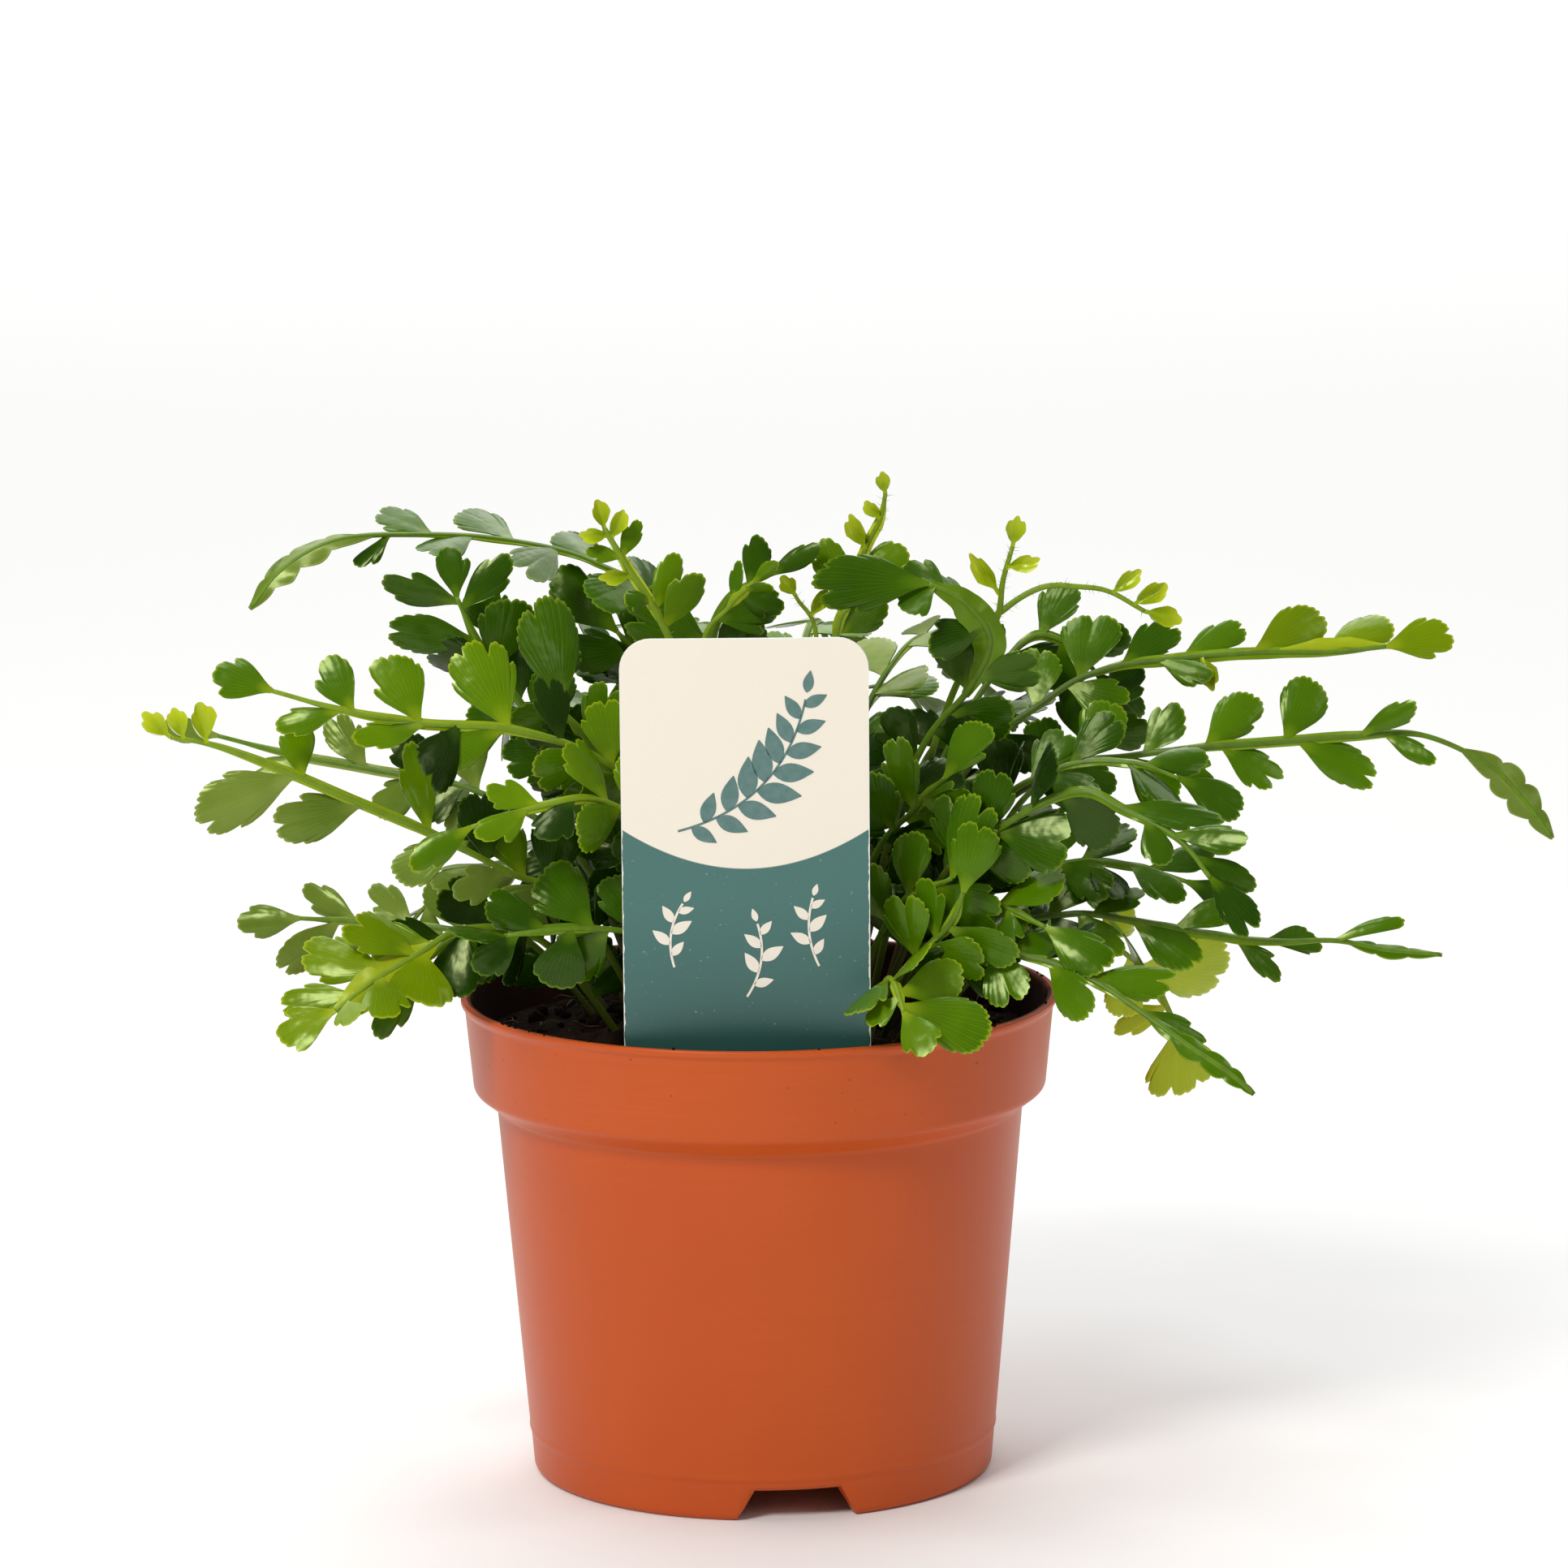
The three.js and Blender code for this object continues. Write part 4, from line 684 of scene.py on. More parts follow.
# Each frond's path runs through points in millimetres, the first at the roots' depth. A leaf has its place
# along the path, counted in points, its length, its width and the degrees that it swings from the stem. A
# bud has a radius for a width, and a strap a place where it starts, a place where it ends and half a width.
# lower counts the leaves on the foot of the stem, two unless it is given, and thick is a share of the stem's
# radius. A frond turns its face to the front, unless it has a facing of its own.
front = [-0.05, -1, 0.3]
fronds = [
    dict(name="frond_left_over", tone="mid", facing=[0.35, -0.35, 1],
         path=[[-6, 6], [-9, 10, 138], [-18, 12, 172], [-33, 12, 183], [-50, 8, 188], [-66, 2, 190],
             [-82, -4, 190], [-93, -8, 185], [-100, -10, 177]],
         leaves=[[2.4, 14, 12, 62], [2.9, 15, 12, -58], [3.4, 15, 12, 56], [3.9, 15, 11, -54],
             [4.4, 14, 10, 32], [4.9, 13, 10, -48], [5.4, 11, 7, 22]],
         strap=[5.6, 8, 3.4]),
    dict(name="frond_left_bright", tone="bright",
         path=[[-10, -18], [-18, -28, 135], [-30, -34, 150], [-47, -40, 157], [-64, -44, 159],
             [-79, -46, 162], [-93, -46, 166]],
         leaves=[[3.05, 19, 15, -60], [4.05, 15, 12, -58], [4.9, 12, 9, -50], [6, 12, 10, -6],
             [5.05, 13, 7, 24], [4.0, 18, 9, 20], [3.1, 17, 10, 28], [2.1, 13, 10, 50]]),
    dict(name="frond_left_curled", tone="bright",
         path=[[-18, -8], [-35, -22, 118], [-49, -28, 127], [-64, -34, 136], [-78, -38, 143],
             [-92, -42, 150], [-104, -44, 155], [-113, -45, 157]],
         leaves=[[4.7, 12, 8, -60], [3.0, 18, 8, -55], [4.8, 21, 13, 46], [3.9, 18, 11, 36],
             [2.0, 12, 9, 45]],
         buds=[[6.2, 5, 2.7, -64], [6.7, 4, 2.2, -62], [7, 4.5, 2.4, -30]]),
    dict(name="frond_left_back", tone="dull", lower=1,
         path=[[-20, 8], [-36, 14, 122], [-57, 20, 135], [-78, 24, 139], [-95, 26, 142], [-110, 26, 146]],
         leaves=[[2.0, 15, 11, -48], [2.5, 13, 9, 42], [3.1, 13, 9, -46], [3.8, 13, 8, 34], [5, 12, 6, 4]]),
    dict(name="frond_left_low", tone="dull", lower=1,
         path=[[-25, 8], [-43, 16, 104], [-61, 22, 106], [-80, 26, 107], [-94, 26, 108]],
         leaves=[[2.5, 14, 8, -36], [3.15, 14, 7, -28], [4, 13, 8, 8], [3.4, 16, 9, 46], [2.2, 13, 9, 46]]),
    dict(name="frond_left_yellow", tone="yellow", facing=[-0.1, -1, 0.55], lower=1,
         path=[[-24, -8], [-42, -20, 111], [-57, -29, 116], [-66, -36, 112.5], [-75, -42, 108],
             [-82, -48, 103.5]],
         leaves=[[5, 12, 11, -22], [3.7, 18, 12, -57], [3.1, 15, 12, -60], [4.45, 15, 9, -42],
             [2.95, 11, 15, 52], [3.85, 10, 12, 60], [4.7, 7, 8, 50]]),
    dict(name="frond_left_hanging", tone="deep",
         path=[[-27, 0], [-46, -2, 108], [-60, -8, 110], [-68, -14, 105]],
         leaves=[[3, 16, 8, 22], [2.2, 13, 9, -38], [1.7, 12, 9, 46]]),
    dict(name="frond_left_dark", tone="deep", facing=[0, -1, 0.4],
         path=[[-8, -30], [-13, -38, 110], [-23, -43, 117], [-36, -46, 119], [-49, -48, 118]],
         leaves=[[3.0, 12, 12, 76], [3.8, 11, 8, 36], [4, 15, 10, -4], [3.4, 13, 9, -36],
             [2.7, 15, 14, -50]]),
    dict(name="frond_left_pointed", tone="bright", facing=[0, -1, 0.6],
         path=[[-14, -22], [-19, -36, 130], [-29, -42, 143], [-43, -48, 143], [-55, -52, 140]],
         leaves=[[4, 14, 7, 14], [3.1, 13, 8, 26], [2.0, 14, 13, -46], [2.9, 11, 8, -34]]),
    dict(name="frond_left_upright", tone="deep",
         path=[[-14, 2], [-30, -4, 135], [-45, -8, 155], [-54, -10, 168], [-59, -10, 179]],
         leaves=[[4, 10, 8, -18], [3.8, 14, 8, -66], [3.9, 16, 8, 50], [3.2, 18, 9, 56], [2.7, 15, 13, -48],
             [2.0, 13, 10, 56]]),
    dict(name="frond_left_fan", tone="mid",
         path=[[-12, -10], [-22, -18, 131], [-32, -24, 150], [-38, -26, 159]],
         leaves=[[3, 22, 16, -30], [2.7, 12, 7, 50], [2.1, 13, 11, -52], [1.8, 13, 11, 52]]),
    dict(name="frond_left_inner", tone="deep", lower=1,
         path=[[-12, 4], [-28, 0, 135], [-42, 2, 157], [-50, 2, 168]],
         leaves=[[3, 13, 11, -10], [2.3, 13, 10, 52], [2.0, 13, 10, -52], [1.6, 13, 10, 50]]),
    dict(name="crozier_left", tone="young", thick=1.25, lower=0,
         path=[[-4, -14], [-7, -24, 144], [-15, -30, 169], [-20, -31, 180], [-25, -31, 188],
             [-29, -31, 195]],
         leaves=[[2.9, 12, 6, -52], [2.5, 13, 8, -58], [4.2, 8, 4.5, -58], [4.2, 7, 4, 50],
             [3.1, 7, 5, 50]],
         buds=[[4.7, 4.5, 1.8, -52], [5, 4, 1.9, -14], [4.8, 4, 1.7, 56], [3.7, 5, 1.7, 58]]),
    dict(name="frond_top_middle", tone="deep",
         path=[[0, 8], [-5, 6, 145], [-9, 2, 166], [-5, 0, 177], [3, -3, 182]],
         leaves=[[4, 12, 5, 2], [3.5, 10, 7, 52], [3.2, 10, 7, -60], [2.5, 12, 10, -56], [2.05, 19, 14, 60],
             [1.6, 15, 12, -52]]),
    dict(name="young_top_left", tone="bright", thick=0.85, lower=0,
         path=[[2, -24], [-3, -31, 145], [-10, -34, 171], [-5, -35, 180], [0, -36, 185]],
         leaves=[[3.2, 8, 3.5, 40], [3.7, 7, 3.2, -38], [4, 6, 3.2, 0]]),
    dict(name="crozier_middle", tone="young", thick=0.85, lower=0,
         path=[[6, -20], [9, -26, 144], [12, -27, 172], [8, -27, 181]],
         buds=[[3, 3, 1.9, 10], [2.4, 4.5, 1.6, -60]]),
    dict(name="young_top_short", tone="bright", lower=0,
         path=[[10, -10], [13, -14, 147], [16, -15, 172], [19, -15, 178]],
         leaves=[[3, 8, 5, 0], [2.5, 8, 5, 45], [2.0, 12, 9, -50]]),
    dict(name="crozier_tall", tone="young", thick=0.85, lower=0,
         path=[[8, 2], [13, 0, 150], [18, -2, 176], [22, -3, 187], [25, -3, 193], [26, -3, 198]],
         leaves=[[2.5, 11, 8, -46], [2.1, 12, 8, 44]],
         buds=[[3.0, 5.5, 2.0, 46], [4.0, 3, 1.5, 60], [5, 2.8, 1.6, 20]]),
    dict(name="frond_top_leaf", tone="deep", facing=[0.1, -1, 0.5],
         path=[[15, -4], [30, -12, 142], [42, -18, 161], [46, -21, 171], [41, -24, 179], [34, -26, 183]],
         leaves=[[5, 23, 13, 20], [4.5, 13, 9, -26], [3.9, 13, 8, -20], [4.85, 8, 8, 60], [3.35, 12, 9, 74],
             [2.2, 13, 10, -52]]),
    dict(name="crozier_arching", tone="young", lower=0,
         path=[[20, 2], [34, -4, 143], [44, -8, 169], [50, -9, 176], [57, -10, 180], [64, -10, 180],
             [70, -10, 179], [77, -10, 175]],
         twigs=[[[44, -8, 169], [48, -9, 174], [49, -9, 181], [51, -9, 188]]],
         buds=[[7, 5, 2.3, 14], [6.7, 5, 2.2, 64], [6.1, 5, 1.9, 62]],
         twig_buds=[[3, 4, 2.2, 5], [2.4, 5, 1.9, -58], [1.6, 8.5, 2.0, 38]]),
    dict(name="frond_right_over", tone="mid", facing=[0, -0.95, 0.5],
         path=[[22, 8], [40, 12, 136], [59, 14, 154], [71, 14, 160], [86, 14, 162], [101, 14, 163],
             [116, 14, 163], [127, 14, 164]],
         leaves=[[2.5, 15, 14, 56], [3.2, 14, 9, 28], [4.0, 15, 9, 26], [4.95, 17, 11, 28],
             [5.9, 16, 11, 28], [7, 14, 10, 8], [3.7, 12, 7, -30]],
         buds=[[4.25, 6, 2.2, -78]]),
    dict(name="frond_right_long", tone="mid",
         path=[[27, 0], [42, -4, 127], [60, -8, 143], [74, -10, 146], [89, -12, 148], [104, -12, 149],
             [119, -12, 150], [132, -12, 150], [145, -12, 144], [152, -12, 137], [158, -12, 129]],
         leaves=[[4, 15, 10, 42], [5.05, 14, 11, 60], [6.05, 13, 6, 22], [4.2, 14, 9, -36],
             [5.2, 18, 9, -32], [6.4, 12, 4.5, -34], [3.2, 12, 9, 46], [3.5, 12, 8, -44]],
         strap=[7.6, 10, 3.6]),
    dict(name="frond_right_bowed", tone="deep", lower=1,
         path=[[18, 14], [36, 20, 137], [53, 24, 163], [63, 24, 164], [69, 22, 158]],
         leaves=[[4, 13, 9, 0], [3.2, 12, 9, 50], [2.9, 12, 9, -62], [2.4, 13, 10, 58], [1.9, 13, 10, -56]]),
    dict(name="frond_right_inner", tone="deep", lower=1,
         path=[[30, 8], [50, 14, 128], [65, 18, 142], [70, 18, 151]],
         leaves=[[3, 12, 9, -12], [2.4, 12, 9, -60], [2.2, 12, 9, 50], [1.7, 12, 9, -50]]),
    dict(name="frond_right_dark", tone="deep", facing=[0.05, -1, 0.5],
         path=[[18, -22], [35, -32, 124], [49, -40, 138], [62, -46, 145], [71, -50, 142], [81, -54, 137],
             [87, -58, 130]],
         leaves=[[1.8, 16, 15, -34], [2.9, 14, 9, -52], [4.4, 10, 7, -44], [3.9, 20, 8, 22],
             [4.9, 15, 7, 26], [5.5, 13, 6, 30], [6, 14, 9, 0], [1.7, 13, 11, 52]]),
    dict(name="frond_right_low", tone="mid", facing=[0, -0.8, 0.8],
         path=[[30, -10], [46, -16, 110], [61, -20, 116], [74, -22, 115], [86, -24, 113], [100, -24, 111],
             [114, -24, 111], [124, -24, 109], [135, -24, 108]],
         leaves=[[5.0, 14, 7, 20], [6.0, 14, 5, 10], [3.0, 16, 9, -28], [2.4, 12, 8, 46], [3.7, 13, 7, 28],
             [4.6, 12, 6, -26]],
         strap=[6.2, 8, 1.7]),
    dict(name="frond_right_edge", tone="mid", facing=[0.1, -1, 0.7],
         path=[[23, -24], [39, -36, 111], [53, -44, 112], [64, -50, 109], [73, -55, 104], [82, -60, 98],
             [90, -63, 93], [95, -65, 89]],
         leaves=[[2.3, 14, 10, -34], [3.0, 17, 9, 30], [4.1, 14, 6, 20], [1.7, 13, 9, 46]],
         strap=[4.2, 7, 2.3]),
    dict(name="frond_right_pale", tone="yellow", facing=[0.05, -1, 0.35],
         path=[[31, 10], [51, 24, 101], [68, 36, 101], [79, 43, 93], [87, 47, 80]],
         leaves=[[4, 17, 19, -22], [3.0, 25, 17, 38], [3.7, 12, 7, -96]]),
    dict(name="frond_front_clover", tone="bright", facing=[0, -1, 0.45],
         path=[[19, -34], [24, -47, 106], [26, -56, 110], [28, -62, 105]],
         leaves=[[2.8, 18, 13, 61], [2.5, 14, 10, 96], [3, 11, 9, 8], [2.6, 8, 7, -70], [2.2, 19, 9, -20]]),
    dict(name="frond_front_oval", tone="mid", facing=[0, -1, 0.2],
         path=[[14, -28], [28, -38, 108], [37, -43, 118], [40, -44, 125]],
         leaves=[[3, 14, 11, 10], [2.0, 15, 9, -76], [1.7, 12, 9, 62]]),
    dict(name="frond_front_fan", tone="mid", facing=[0, -1, 0.2],
         path=[[12, -20], [26, -33, 118], [38, -39, 127]],
         leaves=[[2, 17, 13, 42], [1.7, 15, 12, -48], [1.3, 13, 10, 56]]),
    dict(name="frond_front_right", tone="mid", facing=[0.1, -1, 0.4],
         path=[[22, -16], [35, -28, 117], [46, -36, 121], [56, -44, 118]],
         leaves=[[3, 15, 11, -6], [2.3, 14, 11, -60], [2.1, 15, 12, 40], [1.5, 13, 10, -60]]),
    dict(name="frond_inner_cup", tone="mid", facing=[-0.2, -1, 0.1],
         path=[[10, -12], [22, -18, 125], [31, -24, 138], [37, -28, 145]],
         leaves=[[3, 14, 10, 10], [2.2, 14, 12, -44], [2.0, 15, 11, 56]]),
    dict(name="frond_right_middle", tone="deep", facing=[0, -0.7, 0.8], lower=1,
         path=[[28, -4], [44, -10, 116], [60, -14, 125], [74, -16, 125], [85, -18, 122]],
         leaves=[[4, 13, 8, 0], [3.3, 14, 8, 36], [3.0, 14, 8, -36], [2.3, 14, 10, 46], [2.0, 14, 10, -46]]),
    dict(name="frond_right_upper", tone="deep", facing=[0, -0.7, 0.8], lower=1,
         path=[[24, -6], [44, -14, 132], [59, -20, 145], [73, -24, 147], [83, -26, 144]],
         leaves=[[4, 14, 9, -4], [3.3, 13, 8, 36], [3.0, 14, 9, -36], [2.2, 14, 10, 44],
             [1.9, 14, 10, -50]]),
    dict(name="frond_left_behind", tone="deep", lower=1,
         path=[[-11, 9], [-15, 12, 138], [-22, 16, 160], [-28, 17, 168]],
         leaves=[[3, 18, 12, 10], [2.6, 13, 10, -56], [2.4, 14, 11, 52]]),
]

for frond in fronds:
    frond.setdefault("facing", front)

# The fronds at the back follow a rule: a fan of bearings, in three tiers. Each tier has the radius where its
# stems start, its share of the reach, and the heights along its stems. The reach is longest straight back.
back_count = 13
back_first = 18
back_spread = 142
back_start = 8
back_reach = 76
back_more = 30
back_tiers = [(27, 1.0, (110, 119, 116, 102)), (20, 0.9, (128, 146, 147, 134)),
              (12, 0.7, (140, 160, 163, 152))]
back_tones = ["mid", "deep", "dull", "mid", "deep"]
back_leaves = [[4, 14, 10, 0], [3.5, 12, 9, 48], [3.2, 13, 9, -48], [2.6, 14, 10, 52], [2.2, 14, 10, -52],
               [1.7, 14, 11, 52]]
for i in range(back_count):
    root, tier_reach, tier_heights = back_tiers[i % 3]
    bearing = math.radians(back_first + back_spread * i / (back_count - 1))
    to_side, to_back = math.cos(bearing), math.sin(bearing)
    reach = tier_reach * (back_reach + back_more * to_back ** 2)
    radii = [root, 0.36 * reach + 0.3 * root, 0.62 * reach, 0.82 * reach, reach]
    path = [[math.floor(r * to_side + 0.5), math.floor(r * to_back + back_start + 0.5), z]
            for r, z in zip(radii, (root_depth, *tier_heights))]
    fronds.append(dict(name=f"frond_back_{i + 1:02}", tone=back_tones[i % 5], path=path, lower=1,
                       facing=[-0.5 * to_side, -0.5 * to_back, 1], leaves=back_leaves))


def path_points(path, at):
    """Points of a smooth line through the path's points, at places counted in points: in each span a cubic
    whose slope at every point is half the step between its neighbours."""
    path = np.array([(*point, root_depth)[:3] for point in path], float)
    path = np.vstack([2 * path[0] - path[1], path, 2 * path[-1] - path[-2]])
    spans = len(path) - 3
    at = np.clip(np.asarray(at, float), 0, spans)
    first = np.minimum(at.astype(int), spans - 1)
    t = (at - first)[..., None]
    a, b, c, d = (path[first + i] for i in range(4))
    slope_b, slope_c = (c - a) / 2, (d - b) / 2
    return (b + slope_b * t + (3 * (c - b) - 2 * slope_b - slope_c) * t ** 2
            + (2 * (b - c) + slope_b + slope_c) * t ** 3)


def path_directions(path, facing, at):
    """At places on a path: the point, the stem's direction, the way out of the blade's face, which is the
    facing with the stem's direction taken out of it, and the way across the blade."""
    spans = len(path) - 1
    at = np.clip(np.asarray(at, float), 0, spans)
    step = 1e-4 * spans
    along = path_points(path, at + step) - path_points(path, at - step)
    along /= np.linalg.norm(along, axis=-1, keepdims=True)
    out = facing - along * (along @ np.array(facing, float))[..., None]
    out /= np.linalg.norm(out, axis=-1, keepdims=True)
    return path_points(path, at), along, out, np.cross(out, along)


def leaf_axes(spot, swing, lift, twist):
    """A leaf's point, axis, side and face: the stem's directions swung in the blade, lifted out of it and
    twisted about the leaf's own axis."""
    point, along, out, across = spot
    swing, lift, twist = np.radians([swing, lift, twist])
    flat = math.cos(swing) * along + math.sin(swing) * across
    axis = math.cos(lift) * flat + math.sin(lift) * out
    face = math.cos(lift) * out - math.sin(lift) * flat
    face = math.cos(twist) * face + math.sin(twist) * np.cross(axis, face)
    return np.array([point, axis, np.cross(face, axis), face])


def leaf_outline(length, width, swing, at_end, steps, reach=1.0):
    """The outer edge of a leaf at an even row of directions from its right side over its tip to its left
    side: half an ellipse on a wedge, where reach pulls the edge in. The side next to the stem is cut back
    to run beside it."""
    shoulder = min(0.68, 0.34 + 0.32 * width / length)
    turn = np.linspace(-math.pi / 2, math.pi / 2, steps)
    a = length * (0.3 + (shoulder + (1 - shoulder) * np.cos(turn) - 0.3) * reach)
    b = width / 2 * reach * np.sin(turn)
    slant = math.radians(abs(swing))
    if not at_end and slant < steepest_swing:
        room = np.maximum(least_half_width, (a * math.sin(slant) - stem_room) / math.cos(slant))
        b = np.where(np.sign(swing) * b < 0, np.sign(b) * np.minimum(np.abs(b), room), b)
    return a, b


def droop(a, b, length, width):
    """How far the blade's face falls at a place: the squares of the place's shares of length and width."""
    return -0.1 * length * (a / length) ** 2 - 0.08 * width * (2 * b / width) ** 2


def tooth_count(length, width):
    """Teeth and notches round a leaf's edge in the frame's own solids, by the leaf's size."""
    return 9 if length > 16 and width > 12 else 7 if length > 12.5 and width > 8.5 else 5


# The sizes and bends that a leaf of the frame's solids may have, as degrees of lift and of twist
leaf_sizes = [1, 0.84, 0.68]
leaf_bends = [(0, 0), (14, 0), (-14, 0), (0, 28), (0, -28), (26, 18), (-26, -18), (26, -18), (-26, 18),
              (40, 0), (-40, 0), (40, 45), (-40, -45), (55, 20), (-55, -20)]
furthest_off = 0.08
solid_notch = 0.84
solid_half = 0.325
own_lift = 7
own_twist = 15
chance_factor = 16807
chance_limit = 2147483647


def placed_leaves(frond, seed, corners):
    """The leaves of a frond with the size and bend that its solid in the frame has: of all sizes and bends,
    the one whose edge points all lie on corners of that solid. A leaf that it hasn't got is left out. The
    solid's own lift and twist come from a chain of whole numbers, each the one before times a fixed factor,
    less as many times the limit as it holds."""
    path, facing = frond["path"], frond["facing"]
    spans = len(path) - 1
    rows = list(frond.get("leaves", []))
    first = min([spans] + [row[0] for row in rows])
    lowest = [row for row in rows if row[0] == first]
    turn = np.sign(lowest[0][3]) if lowest else 1
    count = frond.get("lower", 2)
    for i in range(count):
        at = first - 0.22 - 0.55 * (first - 0.9) * i / count
        rows.append([at, *lower_leaf[:2], lower_leaf[2] * turn * (1 if i % 2 else -1)])
    found = []
    for at, length, width, swing in rows:
        shares = []
        for _ in range(2):
            seed = seed * chance_factor % chance_limit
            shares.append(seed / chance_limit)
        lift, twist = own_lift * (2 * shares[0] - 1), own_twist * (2 * shares[1] - 1)
        spot = path_directions(path, facing, at)
        best = (furthest_off, None)
        for size in leaf_sizes:
            long, wide = length * size, width * size
            steps = tooth_count(long, wide)
            reach = np.where(np.arange(steps) % 2, solid_notch, 1)
            a, b = leaf_outline(long, wide, swing, at == spans, steps, reach)
            c = droop(a, b, long, wide) + solid_half
            for more_lift, more_twist in leaf_bends:
                axes = leaf_axes(spot, swing, lift + more_lift, twist + more_twist)
                edge = axes[0] + np.stack([a, b, c], 1) @ axes[1:]
                off = np.linalg.norm(edge[:, None] - corners[None], axis=2).min(1).max()
                if off < best[0]:
                    best = (off, (at, long, wide, swing, at == spans, axes))
        if best[1]:
            found.append(best[1])
    return found


def inner_leaves(frond, found, random):
    """More leaves than the solids of the frame hold, in the dense middle of the plant: one for every seven
    millimetres of stem, on alternate sides. A leaf is left out where another starts beside it, and where it
    would leave the middle, touch the pot or come up to the label."""
    path, facing = frond["path"], frond["facing"]
    at = np.linspace(0.4, len(path) - 1, 300)
    run = np.concatenate([[0], np.cumsum(np.linalg.norm(np.diff(path_points(path, at), axis=0), axis=1))])
    more = []
    for place, reached in enumerate(np.arange(inner_first, run[-1] - inner_last, inner_step)):
        here = float(np.interp(reached, run, at))
        swing = random.uniform(38, 78) * (1 if place % 2 else -1)
        lift, twist, size = random.uniform(-28, 28), random.uniform(-45, 45), random.uniform(0.8, 1.15)
        beside = [row for row in found
                  if row[3] * swing > 0 and abs(np.interp(row[0], at, run) - reached) < beside_gap]
        axes = leaf_axes(path_directions(path, facing, here), swing, lift, twist)
        long, wide = (size * side for side in inner_leaf)
        a, b = leaf_outline(long, wide, swing, False, 9)
        x, y, z = (axes[0] + np.stack([a, b, droop(a, b, long, wide)], 1) @ axes[1:]).T
        free = z.min() > inner_foot and ((np.abs(x - label_centre) > label_gap) | (y > label_back)).all()
        middle = np.abs(x).max() < inner_half_width and z.max() < inner_top and y.max() < inner_back
        if free and middle and not beside:
            more.append((here, long, wide, swing, False, axes))
    return more


def closed_sheet(middle, depth, u, v, under, rim, tint):
    """A thin closed sheet: a grid of points, with the depth added to it for its face and taken from it for
    its back. Its veins follow u and v, under marks its back, and rim is 1 at its edge. Gives points, faces,
    the values at each point and its border marks."""
    rows, columns = middle.shape[:2]
    points = np.vstack([(middle + depth).reshape(-1, 3), (middle - depth).reshape(-1, 3)])
    # The side axis points to the left of the leaf as its face is seen, so the grid turns face up reversed
    faces = np.vstack([group[:, ::-1] for group in shell(rows, columns)])
    u, v, rim = (np.tile(np.broadcast_to(value, (rows, columns)).ravel(), 2) for value in (u, v, rim))
    leaf = np.stack([u, v, np.repeat([0.0, under], rows * columns)], 1)
    return points, faces, {"leaf": leaf, "rim": rim, "tint": np.full(len(u), tint)}, rim_marks(rows, columns)


def leaf_sheet(leaf, random):
    """A leaf as a thin closed sheet. u runs from its stalk to its edge and v over the directions of the fan.
    The edge has rounded corners, teeth four rays wide and notches of chance depth between its lobes, and two
    slow waves make its halves unequal. The sheet narrows to the stalk by a curve that is hollow below and
    full above. A twist, a slow wave and a fold along the middle bend it."""
    _, length, width, swing, at_end, axes = leaf
    lobes = tooth_count(length, width) - 1
    columns = rays_per_tooth * lobes + 1
    place = np.arange(columns)
    v = 2 * place / (columns - 1) - 1
    tooth = np.array([0, 0.74, 1, 0.74])[place % 4]
    uneven = random.uniform(-0.06, 0.06) * np.sin(math.pi * v) + random.uniform(-0.04, 0.04) * np.sin(5 * v)
    reach = 1 + uneven - tooth_depth * (1 - tooth) - corner_depth * np.abs(v) ** 5
    for k in range(1, lobes, 2):
        low, high = notch_depths[int(np.searchsorted(notch_shares, random.random()))]
        deep = random.uniform(low, high)
        reach -= deep * np.exp(-((place / rays_per_tooth - k) / (0.16 + 0.55 * deep)) ** 2)
    a, b = leaf_outline(length, width, swing, at_end, columns, reach)
    u = blade_rows[:, None]
    a = a * u
    b = 0.5 * np.sin(v * math.pi / 2) * (1 - u) + b * (0.4 * u + 0.6 * (3 * u ** 2 - 2 * u ** 3))
    roll, phase = random.uniform(-0.18, 0.18), random.uniform(0, 6.28)
    wave, fold = length * random.uniform(0.015, 0.055), random.uniform(-0.06, 0.2)
    c = random.uniform(0.5, 1.6) * droop(a, b, length, width) + roll * u * b
    c += wave * np.sin(2.6 * v + phase) * u ** 2 + fold * (np.sqrt(b ** 2 + 1) - 1) - 0.5 * wave * u ** 6
    middle = axes[0] + np.stack([a, b, c], 2) @ axes[1:]
    depth = (blade_thickness / 2 * (1.1 - 0.55 * u))[..., None] * axes[3]
    return closed_sheet(middle, depth, u, v, 1.0, (u > 0.99).astype(float), random.uniform(0, 1))


